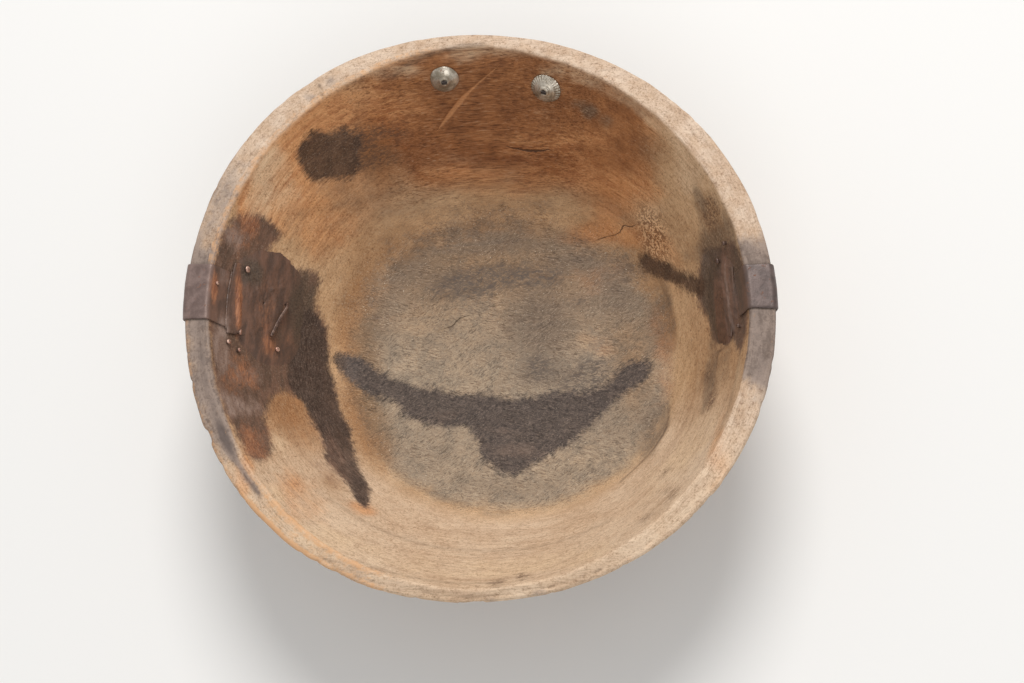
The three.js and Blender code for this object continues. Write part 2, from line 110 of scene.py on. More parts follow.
def stray_of(ring, phi):
    east, north, long, skew, three, four = ring
    return (east * np.cos(phi) + north * np.sin(phi) + long * np.cos(2 * phi) + skew * np.sin(2 * phi)
            + three * np.cos(3 * phi) + four * np.cos(4 * phi))


def radius_at(at):
    """How far the section is from the middle, before its rings stray."""
    return np.interp(at, reach, section[:, 0])


def surface(at, phi):
    """The place at a distance along the section and an angle in radians."""
    at, phi = np.broadcast_arrays(np.asarray(at, float), np.asarray(phi, float))
    r = radius_at(at)
    z = np.interp(at, reach, section[:, 1])
    floor, mouth, rim = (stray_of(s, phi) for s in (FLOOR_STRAY, MOUTH_STRAY, RIM_STRAY))
    climb = np.clip((z - THICK) / (HEIGHT - THICK), 0, 1)
    inner = (floor * (1 - climb) + mouth * climb) * np.clip(r / FLOOR, 0, 1)
    share = np.clip((at - LIP_AT) / (LAND_END - LIP_AT), 0, 1)
    top = mouth * (1 - share) + rim * share
    fall = np.clip(z / RIM_HEIGHT, 0, 1)
    outer = (floor * (1 - fall) + rim * fall) * np.clip(r / HEEL, 0, 1)
    r = r + np.where(at <= LIP_AT, inner, np.where(at <= LAND_END, top, outer))
    return np.stack([r * np.cos(phi), r * np.sin(phi), z], -1)


def outward(at, phi):
    """The way out of the wood."""
    nudge, turn = 0.15, 0.15 / RIM
    along = surface(at + nudge, phi) - surface(at - nudge, phi)
    around = surface(at, phi + turn) - surface(at, phi - turn)
    out = np.cross(along, around)
    return out / np.linalg.norm(out, axis=-1, keepdims=True)


def lifted(at, phi, lift):
    return surface(at, phi) + outward(at, phi) * np.asarray(lift)[..., None]


def beside(strap_angle, depth, aside):
    """The distance and angle of a place that lies depth down the wall and aside of a strap's middle line."""
    at = LIP_AT - np.asarray(depth)
    return at, np.radians(strap_angle) + np.asarray(aside) / radius_at(at)


def frame_at(at, phi):
    """Place and axes: round the bowl, up the wall and out of the wood."""
    place, out = surface(at, phi), outward(at, phi)
    aside = unit(np.cross([0, 0, 1.0], out))
    return place, np.stack([aside, np.cross(out, aside), out])


def stations(stops, counts):
    """Distances from each stop to the next, in so many equal steps."""
    runs = [np.linspace(a, b, n, endpoint=False) for a, b, n in zip(stops, stops[1:], counts)]
    return np.concatenate(runs + [stops[-1:]])


def roughly(points, size, seed=0, octaves=3):
    """Smooth noise from -1 to 1 at each point, with features of about that size."""
    flat = np.asarray(points).reshape(-1, 3) / size + seed * 17.31
    made = [noise.fractal(p, 1.0, 2.0, octaves, noise_basis="PERLIN_ORIGINAL") for p in flat]
    return np.array(made).reshape(np.shape(points)[:-1])


# Meshes
def piece(name, points, faces, body, slot, material, replaced=()):
    """A piece of the object from points in millimetres."""
    mesh = bpy.data.meshes.new(name)
    mesh.from_pydata((np.asarray(points).reshape(-1, 3) * METRES).tolist(), [], faces)
    shell = bmesh.new()
    shell.from_mesh(mesh)
    bmesh.ops.recalc_face_normals(shell, faces=shell.faces)
    shell.to_mesh(mesh)
    shell.free()
    mesh.polygons.foreach_set("use_smooth", [True] * len(mesh.polygons))
    mesh.materials.append(material)
    made = bpy.data.objects.new(name, mesh)
    bpy.context.collection.objects.link(made)
    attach(made, body)
    if replaced:
        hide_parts(*replaced)
    return made


def slab(under, over, wrapped=False):
    """Points and faces of a closed skin between two sheets of points."""
    rows, columns = under.shape[:2]
    low = np.arange(rows * columns).reshape(rows, columns)
    if wrapped:
        low = np.column_stack([low, low[:, 0]])
    high = low + rows * columns
    quads = [
        (high[:-1, :-1], high[:-1, 1:], high[1:, 1:], high[1:, :-1]),
        (low[:-1, :-1], low[1:, :-1], low[1:, 1:], low[:-1, 1:]),
        (low[0, :-1], low[0, 1:], high[0, 1:], high[0, :-1]),
        (low[-1, 1:], low[-1, :-1], high[-1, :-1], high[-1, 1:]),
    ]
    if not wrapped:
        quads.append((low[1:, 0], low[:-1, 0], high[:-1, 0], high[1:, 0]))
        quads.append((low[:-1, -1], low[1:, -1], high[1:, -1], high[:-1, -1]))
    faces = np.concatenate([np.stack([corner.ravel() for corner in corners], -1) for corners in quads])
    return np.concatenate([under.reshape(-1, 3), over.reshape(-1, 3)]), faces.tolist()


def tube(rows, columns):
    """Faces between rings of points, and the fans that close them on the two points after the rings."""
    here = np.arange(rows * columns).reshape(rows, columns)
    nxt = np.roll(here, -1, axis=1)
    quads = np.stack([here[:-1], nxt[:-1], nxt[1:], here[1:]], -1).reshape(-1, 4)
    first = np.full(columns, rows * columns)
    start = np.stack([first, nxt[0], here[0]], -1)
    end = np.stack([first + 1, here[-1], nxt[-1]], -1)
    return quads.tolist(), start.tolist() + end.tolist()


def swept(path, radii, facets, shape):
    """A round bar along a path, closed at both ends. shape(turns, step) scales the radius round the bar."""
    path = np.asarray(path, float)
    tangents = np.gradient(path, axis=0)
    tangents /= np.linalg.norm(tangents, axis=1, keepdims=True)
    side = np.cross(tangents[0], [0.3, 0.5, 0.8])
    points = []
    turns = np.linspace(0, 2 * math.pi, facets, endpoint=False)
    for step, (place, tangent) in enumerate(zip(path, tangents)):
        side = unit(side - tangent * (side @ tangent))
        other = np.cross(tangent, side)
        scale = radii[step] * shape(turns, step)
        ring = np.outer(np.cos(turns) * scale, side) + np.outer(np.sin(turns) * scale, other)
        points.append(place + ring)
    quads, fans = tube(len(path), facets)
    return np.concatenate(points + [path[:1], path[-1:]]), quads + fans


def attribute(made, name, values, kind="FLOAT"):
    layer = made.data.attributes.new(name, kind, "POINT")
    layer.data.foreach_set("value" if kind == "FLOAT" else "vector", np.asarray(values, np.float32).ravel())


# Drawn shapes, on the bowl's inside laid flat: x and y are the way from the floor's middle
def laid_flat(at, phi):
    return np.stack([at * np.cos(phi), at * np.sin(phi)], -1)


def smoothed(points, closed, steps=5):
    """A rounder line through given points."""
    p = np.asarray(points, float)
    count = len(p)
    made = []
    for i in range(count if closed else count - 1):
        pick = [(i + k) % count if closed else min(max(i + k, 0), count - 1) for k in (-1, 0, 1, 2)]
        a, b, c, d = p[pick]
        for t in np.arange(steps) / steps:
            made.append(0.5 * (2 * b + (c - a) * t + (2 * a - 5 * b + 4 * c - d) * t * t
                               + (3 * b - a - 3 * c + d) * t ** 3))
    if not closed:
        made.append(p[-1])
    return np.array(made)


def to_segments(where, start, end):
    """Nearest distance to a chain of segments, its side, and how far along the chain."""
    best = np.full(len(where), 1e9)
    side = np.ones(len(where))
    along = np.zeros(len(where))
    for i, (a, b) in enumerate(zip(start, end)):
        run = b - a
        t = np.clip(((where - a) @ run) / (run @ run), 0, 1)
        d = np.hypot(*(where - a - t[:, None] * run).T)
        near = d < best
        best = np.where(near, d, best)
        cross = run[0] * (where[:, 1] - a[1]) - run[1] * (where[:, 0] - a[0])
        side = np.where(near, np.sign(cross), side)
        along = np.where(near, (i + t) / len(start), along)
    return best, side, along


def to_line(where, points):
    """The same for a line through given points."""
    chain = smoothed(points, False)
    return to_segments(where, chain[:-1], chain[1:])


def outline(where, points):
    """Signed distance to a closed outline, below zero inside."""
    ring = smoothed(points, True)
    start, end = ring, np.roll(ring, -1, axis=0)
    best, _, _ = to_segments(where, start, end)
    inside = np.zeros(len(where), bool)
    for a, b in zip(start, end):
        crosses = (a[1] > where[:, 1]) != (b[1] > where[:, 1])
        with np.errstate(divide="ignore", invalid="ignore"):
            x = a[0] + (where[:, 1] - a[1]) * (b[0] - a[0]) / (b[1] - a[1])
        inside ^= crosses & (where[:, 0] < x)
    return np.where(inside, -best, best)


def line(where, points, widths):
    """Signed distance to a line and its half width there, which is 0 away from it."""
    best, side, along = to_line(where, points)
    width = np.interp(along, np.linspace(0, 1, len(widths)), widths)
    return best * side, np.where(best < 7, width, 0)


# Outlines of the soaked and stained wood, and of the strip of iron in the right pitch
LEFT_SOAK = [
    (-228, 90), (-217, 99), (-198, 105), (-181, 96), (-178, 87), (-186, 77), (-184, 69), (-169, 65),
    (-144, 66), (-138, 59), (-139, 46), (-137, 34), (-128, 23), (-125, 8), (-128, -6), (-119, -21),
    (-118, -36), (-109, -55), (-106, -86), (-97, -114), (-94, -132), (-100, -143), (-112, -120),
    (-132, -101), (-131, -84), (-145, -60), (-150, -47), (-158, -44), (-171, -44), (-182, -57), (-188, -80),
    (-183, -91), (-181, -109), (-189, -132), (-202, -131), (-211, -117), (-218, -106), (-228, -90),
    (-238, -64), (-243, -39), (-246, -11), (-247, 20), (-245, 47), (-238, 72)]
LEFT_STREAK = [
    (-157, 32), (-139, 32), (-126, 8), (-119, -23), (-109, -55), (-106, -86), (-97, -114), (-94, -132),
    (-102, -141), (-120, -110), (-132, -94), (-139, -65), (-148, -48), (-160, -41), (-166, -29),
    (-164, -11), (-159, 10)]
RIGHT_SOAK = [
    (180, 52), (192, 57), (213, 52), (233, 50), (243, 34), (246, 6), (240, -33), (228, -47), (218, -42),
    (213, -32), (190, -25), (178, -18), (172, 3), (164, 15), (164, 31)]
RIGHT_STRIP = [
    (198, 33), (205, 34), (210, 28), (211, 16), (209, 0), (206, -26), (196, -27), (189, -20), (192, 0),
    (195, 18)]
DIAGONAL = [
    (107, 62), (115, 67), (124, 62), (141, 52), (150, 45), (175, 33), (168, 25), (145, 38), (120, 50),
    (109, 56)]
SMILE = [
    (-119, 1), (-104, 4), (-86, -9), (-67, -20), (-49, -24), (-31, -29), (-12, -30), (10, -33), (35, -28),
    (55, -28), (71, -22), (80, -14), (90, -9), (97, -10), (94, -19), (81, -27), (68, -39), (55, -54),
    (43, -63), (29, -74), (14, -84), (-1, -83), (-9, -75), (-15, -62), (-24, -51), (-48, -50), (-66, -41),
    (-75, -30), (-92, -23), (-105, -15)]
SMOKE = [(44, -13), (52, -7), (64, -4), (71, -9), (72, -21), (64, -30), (50, -32), (38, -28)]
OVAL = [
    (-163, 155), (-160, 166), (-150, 175), (-141, 180), (-136, 178), (-121, 183), (-115, 180), (-106, 177),
    (-104, 170), (-108, 160), (-108, 151), (-117, 142), (-135, 140), (-150, 137), (-161, 148)]
OVAL_TAIL = [
    (-115, 180), (-99, 185), (-82, 187), (-66, 183), (-74, 177), (-90, 174), (-88, 168), (-76, 163),
    (-82, 156), (-99, 151), (-115, 147)]
FLOOR_PATCH = [
    (-54, 56), (-39, 68), (-24, 76), (11, 75), (43, 69), (49, 60), (42, 54), (2, 56), (-7, 49), (-41, 50)]

# Round spots: x, y and radius. Then the gouge, and the cracks with their half widths.
SPOTS = [
    (160, -163, 6), (137, -179, 6), (150, -150, 3), (137, -118, 5), (58, 38, 5), (169, -42, 6),
    (180, -70, 9), (211, 83, 14), (26, -10, 9), (40, -228, 6), (22, -238, 5)]
GOUGE = [(18, 231), (-9, 214), (-25, 200), (-39, 186)]
CRACKS = [
    ([(15, 171), (35, 166), (55, 165)], (0.1, 0.5, 0.9, 0.2)),
    ([(74, 86), (81, 87), (89, 88), (93, 87)], (0.1, 0.25, 0.2, 0.1)),
    ([(92, 88), (99, 90), (104, 94), (110, 92), (116, 93)], (0.1, 0.4, 0.45, 0.3, 0.1)),
    ([(-43, 22), (-34, 25), (-29, 31), (-20, 34)], (0.1, 0.25, 0.2, 0.1)),
]

# Soft oval patches of each tone: x, y, half width, half height and strength
PATCHES = {
    "orange": [
        (104, 112, 28, 13, 0.6), (78, 94, 24, 10, 0.5), (78, 56, 22, 14, 0.35), (124, 74, 16, 20, 0.4),
        (196, 122, 16, 20, 0.4), (-100, -145, 12, 10, 0.6), (112, 12, 12, 18, 0.35),
        (-195, 124, 20, 40, 0.9), (-184, 166, 20, 16, 0.6), (-123, 196, 38, 13, 0.6),
        (23, 142, 62, 12, 0.6), (114, 130, 40, 13, 0.65), (-153, -161, 26, 32, 0.35),
        (-202, -144, 7, 26, 0.7), (-156, -70, 18, 26, 0.35), (176, 168, 26, 16, 0.4), (82, 94, 24, 9, 0.4),
        (68, 2, 9, 10, 0.3), (205, -138, 13, 40, 0.45), (-205, 98, 12, 22, 0.9), (-34, 149, 28, 9, 0.45),
        (-150, 90, 18, 22, 0.35), (203, 140, 16, 16, 0.3), (-134, 148, 30, 14, 0.4), (108, 84, 15, 9, 0.7),
        (111, -17, 9, 24, 0.3), (-160, -140, 12, 20, 0.3), (176, 6, 8, 22, 0.3), (40, 172, 70, 14, 0.4),
        (100, 160, 40, 16, 0.4), (-172, 132, 30, 34, 0.8), (-150, 182, 40, 20, 0.8),
        (-90, 200, 40, 26, 0.5), (-130, 104, 26, 26, 0.5), (140, 60, 14, 30, 0.4), (146, 118, 20, 20, 0.35)],
    # pale: paler wood. The painted highlight along the upper right lip is added to this tone further on.
    "pale_and_highlight": [
        (-197, 121, 13, 36, 0.7), (156, -36, 12, 20, 0.35), (238, 74, 5, 24, 0.4), (225, -71, 9, 24, 0.4),
        (-50, 30, 30, 16, 0.3), (-175, -101, 9, 17, 0.6), (-122, -203, 36, 18, 0.7), (140, 97, 19, 10, 0.5),
        (197, 118, 22, 24, 0.7), (61, 5, 9, 9, 0.3), (171, -95, 30, 31, 0.5), (67, -206, 62, 22, 0.5),
        (-87, -92, 13, 34, 0.35), (143, -120, 36, 33, 0.45), (-174, -174, 10, 22, 0.6),
        (-20, -215, 70, 22, 0.5), (-150, -64, 8, 14, 0.4), (-188, 150, 16, 28, 0.5),
        (-172, 120, 14, 18, 0.45), (196, 70, 6, 30, 0.3), (209, 146, 22, 34, 0.4), (10, 243, 80, 6, 0.5),
        (-78, 229, 36, 7, 0.5), (94, 225, 36, 7, 0.5), (196, 142, 12, 26, 0.4)],
    # dull: greyer, duller wood, and painted shade round the rosettes.
    "dull_and_shade": [
        (-14, 120, 74, 11, 0.45), (-16, 97, 62, 12, 0.6), (-70, 74, 26, 14, 0.4), (52, 82, 26, 12, 0.45),
        (-74, 55, 27, 30, 0.3), (84, 44, 20, 26, 0.6), (112, 14, 13, 22, 0.5), (30, 24, 26, 34, 0.7),
        (104, -58, 13, 28, 0.7), (90, 198, 9, 5, 0.5), (102, 191, 9, 7, 0.85), (116, 180, 9, 7, 0.55),
        (-30, 62, 20, 9, 0.5), (198, 94, 11, 17, 0.65), (205, 57, 28, 17, 0.95), (174, -34, 9, 26, 0.55),
        (-119, 46, 10, 24, 0.25), (-20, -46, 60, 30, 0.3), (73, -50, 18, 18, 0.4), (68, 70, 26, 10, 0.5),
        (-62, 160, 26, 11, 0.3), (166, 58, 14, 8, 0.3), (169, -63, 8, 20, 0.5), (186, -48, 14, 22, 0.5),
        # The patches at (-29, 221) and (63, 211) are dark halos round the rosettes: painted shade round each
        # washer, with dark oil in the wood.
        (204, -45, 8, 30, 0.4), (156, -40, 7, 16, 0.25), (-29, 221, 15, 12, 0.45), (63, 211, 16, 13, 0.45),
        (40, -16, 32, 11, 0.4), (232, 60, 7, 30, 0.5), (120, 34, 9, 14, 0.5), (100, 62, 12, 14, 0.5),
        (-90, 30, 16, 40, 0.3), (-20, 10, 30, 14, 0.2), (8, -98, 46, 12, 0.35), (-60, -78, 26, 14, 0.3)],
    # umber: a multiplied darkening. Over the upper floor and the upper wall it is painted shade, on the side
    # turned from the light; along the coves beside the soaked wood it is darker, browner wood.
    "umber_and_shade": [
        (-10, 82, 96, 36, 0.7), (48, 34, 44, 34, 0.45), (88, -10, 16, 36, 0.6), (-104, 24, 18, 44, 0.75),
        (-100, -30, 14, 32, 0.8), (-88, -66, 14, 24, 0.7), (-126, -122, 12, 16, 0.6),
        (-60, 40, 30, 30, 0.35), (112, 52, 16, 34, 0.3), (0, 172, 80, 30, 0.35), (-229, 100, 10, 26, 0.3),
        (112, 12, 12, 18, 0.6), (-164, -62, 26, 30, 0.6), (60, 150, 60, 16, 0.45), (-10, 10, 50, 40, 0.25),
        (-92, 172, 22, 30, 0.75), (150, 140, 30, 16, 0.4)],
    "ember": [
        (-215, 83, 15, 14, 0.45), (-217, 24, 3.5, 36, 0.85), (-241, 30, 4, 13, 0.9),
        (-210, -41, 16, 15, 0.65), (-192, 30, 11, 28, 0.3), (-178, -84, 9, 18, 0.6),
        (-202, -112, 12, 20, 0.65), (-166, 4, 8, 16, 0.3), (-205, 95, 10, 9, 0.7),
        (-222, -62, 10, 12, 0.35), (-186, -4, 10, 14, 0.45), (-190, -122, 8, 8, 0.7)],
    # sheen: painted reflection and highlights on the glossy pitch, a pale grey where the sky would shine in
    # it, and a thin highlight line beside the right strip
    "painted_sheen": [
        (-232, -24, 8, 30, 0.9), (-232, 43, 6, 12, 0.5), (-221, -80, 15, 14, 0.8), (-198, -72, 12, 11, 0.5),
        (-158, -30, 13, 8, 0.35), (-222, 80, 9, 14, 0.5), (-213, 80, 12, 10, 0.35),
        (-213, -45, 12, 12, 0.35), (-196, -34, 7, 24, 0.35), (185, 43, 8, 11, 0.9), (216, 4, 2.5, 36, 0.5),
        (214, -45, 10, 14, 0.4), (212, 78, 12, 14, 0.4)],
    "gloom": [
        (-154, 32, 16, 36, 0.8), (-205, 53, 13, 14, 0.8), (-222, -10, 9, 12, 0.5), (-146, -40, 12, 14, 0.8),
        (-112, -112, 9, 30, 0.5), (-180, 6, 8, 14, 0.5), (196, 62, 12, 18, 0.6), (180, 14, 12, 30, 0.75),
        (232, 20, 12, 44, 0.6), (196, -22, 12, 12, 0.4), (198, 40, 15, 14, 0.7), (184, 22, 9, 22, 0.8)],
    "thin": [
        (12, -70, 26, 6, 0.7), (7, -56, 21, 5, 0.5), (-44, -46, 22, 7, 0.4), (-118, -34, 9, 22, 0.45),
        (-112, -88, 12, 26, 0.6), (-103, -122, 9, 14, 0.5), (-136, 160, 16, 10, 0.25),
        (-150, -8, 8, 20, 0.3)],
    "combings": [(-129, -114, 22, 17, 0.5), (-125, -84, 12, 21, 0.45)],
    "worm": [(131, 82, 15, 24, 1.0)],
}
RIM_SPOTS = [
    (60, -262, 14, 9, 0.6), (-100, -240, 16, 10, 0.6), (20, -262, 10, 8, 0.5), (-146, 204, 7, 5, 0.5),
    (-128, 218, 7, 6, 0.5), (-210, 146, 9, 8, 0.4)]

# Soft dark lines: points, half width and strength
SEAMS = [
    ([(113, -42), (114, -62), (109, -74), (98, -83), (86, -97)], 1.5, 0.7),
    ([(-79, 74), (-54, 97), (-14, 110), (34, 105), (67, 87)], 5.0, 0.35),
    ([(-45, 59), (-22, 73), (10, 74), (47, 57)], 3.5, 0.3),
    ([(-107, 24), (-109, -6), (-101, -37), (-85, -70), (-58, -99), (-20, -112)], 2.5, 0.3),
    ([(-159, 109), (-125, 120), (-76, 135)], 4.0, 0.25),
    ([(-93, 114), (-36, 137), (32, 139), (98, 113), (125, 78)], 7.0, 0.25),
    ([(-128, -147), (-84, -169), (-27, -180), (43, -174), (97, -156)], 2.5, 0.25),
    ([(-94, -224), (-35, -236), (23, -236)], 2.0, 0.3),
    ([(-50, 47), (-33, 52), (-14, 56)], 2.5, 0.55),
    ([(236, 18), (228, -40), (218, -80), (205, -122)], 3.0, 0.3),
    ([(187, -30), (196, -30), (208, -29)], 1.6, 0.7),
    ([(187, -30), (183, -38)], 1.4, 0.6),
    ([(-139, 214), (-137, 205)], 0.9, 0.8),
    ([(11, 248), (-11, 247), (-34, 242), (-56, 235), (-75, 224)], 1.8, 0.5),
]


def soft(flat, patches):
    """How far each place lies in soft oval patches, from 0 to 1."""
    left = np.ones(flat.shape[:-1])
    for x, y, half_width, half_height, strength in patches:
        away = ((flat[..., 0] - x) / half_width) ** 2 + ((flat[..., 1] - y) / half_height) ** 2
        left *= 1 - strength * np.exp(-0.7 * away ** 1.4)
    return 1 - left


def paint_tar(made, flat, tarred=1.0):
    """The tones of pitch and soaked wood, and the painted reflection on the pitch, the same on every piece
    that they run over.
    """
    for tone in ("ember", "painted_sheen", "gloom"):
        attribute(made, tone, soft(flat, PATCHES[tone]))
    attribute(made, "tarred", np.broadcast_to(tarred, flat.shape[:1]))


# Materials. A colour is a socket, or red, green and blue from 0 to 255.
def straight(c):
    c /= 255
    return c / 12.92 if c <= 0.04045 else ((c + 0.055) / 1.055) ** 2.4


def colour(value):
    """A colour as the shader wants it."""
    return (*map(straight, value), 1.0) if isinstance(value, tuple) else value


class Look:
    """A material written as expressions over its node tree, with tones laid over a base colour."""

    def __init__(self, name, base=None):
        self.material = bpy.data.materials.new(name)
        self.material.use_nodes = True
        self.tree = self.material.node_tree
        self.tree.nodes.clear()
        self.shader = self.tree.nodes.new("ShaderNodeBsdfPrincipled")
        output = self.tree.nodes.new("ShaderNodeOutputMaterial")
        self.tree.links.new(self.shader.outputs[0], output.inputs[0])
        self.where = self.tree.nodes.new("ShaderNodeTexCoord").outputs["Object"]
        self.base = base

    def put(self, socket, value):
        if isinstance(value, bpy.types.NodeSocket):
            self.tree.links.new(value, socket)
        else:
            socket.default_value = value

    def node(self, kind, *inputs, **settings):
        made = self.tree.nodes.new("ShaderNode" + kind)
        for key, value in settings.items():
            setattr(made, key, value)
        for socket, value in zip(made.inputs, inputs):
            self.put(socket, value)
        return made

    def value(self, name):
        return self.node("Attribute", attribute_name=name).outputs["Fac"]

    def squeezed(self, places, stretch):
        """Places squeezed along x, so that noise is drawn out along it."""
        return self.node("VectorMath", places, (1 / stretch, 1, 1), operation="MULTIPLY").outputs[0]

    def grain(self, degrees, stretch):
        """The object's places, squeezed along a level line at that angle."""
        turned = self.node("VectorRotate", self.where, rotation_type="Z_AXIS")
        turned.inputs["Angle"].default_value = -math.radians(degrees)
        return self.squeezed(turned.outputs[0], stretch)

    def along_rim(self, stretch):
        """Places measured round the bowl and down its section, squeezed round the bowl."""
        return self.squeezed(self.node("Attribute", attribute_name="sweep").outputs["Vector"], stretch)

    def noise(self, size, detail, rough, where=None, distortion=0.0):
        """Noise from 0 to 1 with features of that many millimetres."""
        made = self.node("TexNoise")
        self.put(made.inputs["Vector"], where or self.where)
        made.inputs["Scale"].default_value = 1 / (size * METRES)
        made.inputs["Detail"].default_value = detail
        made.inputs["Roughness"].default_value = rough
        made.inputs["Distortion"].default_value = distortion
        return made.outputs[0]

    def chain(self, operation, *values):
        total = values[0]
        for value in values[1:]:
            total = self.node("Math", total, value, operation=operation).outputs[0]
        return total

    def add(self, *values):
        return self.chain("ADD", *values)

    def times(self, *values):
        return self.chain("MULTIPLY", *values)

    def most(self, *values):
        return self.chain("MAXIMUM", *values)

    def rest(self, value):
        return self.chain("SUBTRACT", 1.0, value)

    def sum(self, *pairs):
        """Values added up, each times its own weight."""
        return self.add(*[self.times(value, weight) for value, weight in pairs])

    def around(self, *pairs):
        """Noises moved to lie round zero, each over about its own width, and added up."""
        return self.add(*[self.node("Math", value, width, -width / 2, operation="MULTIPLY_ADD").outputs[0]
                          for value, width in pairs])

    def blend(self, share, a, b):
        """From the number a to the number b."""
        made = self.node("Mix", share)
        self.put(made.inputs[2], a)
        self.put(made.inputs[3], b)
        return made.outputs[0]

    def fade(self, value, low, high, end=1.0, start=0.0):
        """From start to end, smoothly, as the value goes from low to high."""
        return self.node("MapRange", value, low, high, start, end, interpolation_type="SMOOTHSTEP").outputs[0]

    def painted(self, name, ragged, low, high, end=1.0):
        """How much a painted tone shows, where noise frays its edge."""
        return self.fade(self.add(self.value(name), ragged), low, high, end)

    def off_line(self, name, wander=0.0):
        """How far a place is outside a drawn line's width."""
        away = self.add(self.value(name + "_d"), wander)
        return self.chain("SUBTRACT", self.node("Math", away, operation="ABSOLUTE").outputs[0],
                          self.value(name + "_w"))

    def mix(self, share, a, b, kind="MIX"):
        made = self.node("Mix", data_type="RGBA", blend_type=kind)
        for index, value in ((0, share), (6, colour(a)), (7, colour(b))):
            self.put(made.inputs[index], value)
        return made.outputs[2]

    def tones(self, value, dark, light, low=0.35, high=0.65):
        """From a dark to a light colour as the value goes from low to high."""
        return self.mix(self.fade(value, low, high), dark, light)

    def lay(self, share, tone, kind="MIX"):
        """Lay a tone over the base."""
        self.base = self.mix(share, self.base, tone, kind)

    def strew(self, value, low, high, end, tone, mask=1.0, kind="MIX"):
        """Lay a tone over the base where the value nears high, inside a mask."""
        self.lay(self.times(self.fade(value, low, high, end), mask), tone, kind)

    def bump(self, height, millimetres):
        """A bump whose height of 1 is that many millimetres."""
        made = self.node("Bump")
        made.inputs["Strength"].default_value = 0.8
        made.inputs["Distance"].default_value = millimetres * METRES
        self.put(made.inputs["Height"], height)
        self.put(self.shader.inputs["Normal"], made.outputs[0])

    def finish(self, roughness, metallic=0.0, specular=0.5):
        self.put(self.shader.inputs["Base Color"], colour(self.base))
        self.put(self.shader.inputs["Roughness"], roughness)
        self.put(self.shader.inputs["Metallic"], metallic)
        self.shader.inputs["Specular IOR Level"].default_value = specular
        return self.material


def tar(m):
    """The colour and height of pitch, and of wood soaked with it, with a painted reflection in the colour."""
    under = m.base
    lumps = m.noise(7, 4, 0.6, m.grain(84, 2.6), 0.3)
    fine = m.noise(1.3, 3, 0.7)
    strokes = m.noise(1.4, 4, 0.7, m.grain(84, 6), 0.6)
    mottle = m.around((m.noise(11, 4, 0.65), 0.9), (strokes, 0.45))
    m.base = m.tones(lumps, (90, 72, 63), (118, 90, 76), 0.36, 0.64)
    ember = m.painted("ember", m.times(mottle, 1.3), 0.2, 0.85, 0.85)
    m.lay(ember, m.tones(strokes, (136, 86, 62), (184, 126, 90)))
    # Painted reflection: a pale grey laid into the pitch's colour where its gloss would shine.
    painted_sheen = m.painted("painted_sheen", m.times(mottle, -1.0), 0.2, 0.85, 0.8)
    m.lay(painted_sheen, m.tones(lumps, (140, 116, 104), (172, 152, 142)))
    gloom = m.painted("gloom", m.times(mottle, 0.7), 0.25, 0.8, 0.85)
    m.lay(gloom, m.tones(fine, (70, 60, 52), (102, 88, 76)))
    m.strew(strokes, 0.62, 0.78, 0.35, (158, 134, 116))
    m.strew(fine, 0.36, 0.26, 0.5, (50, 38, 32))
    made, m.base = m.base, under
    return made, m.sum((lumps, 0.9), (fine, 0.4))


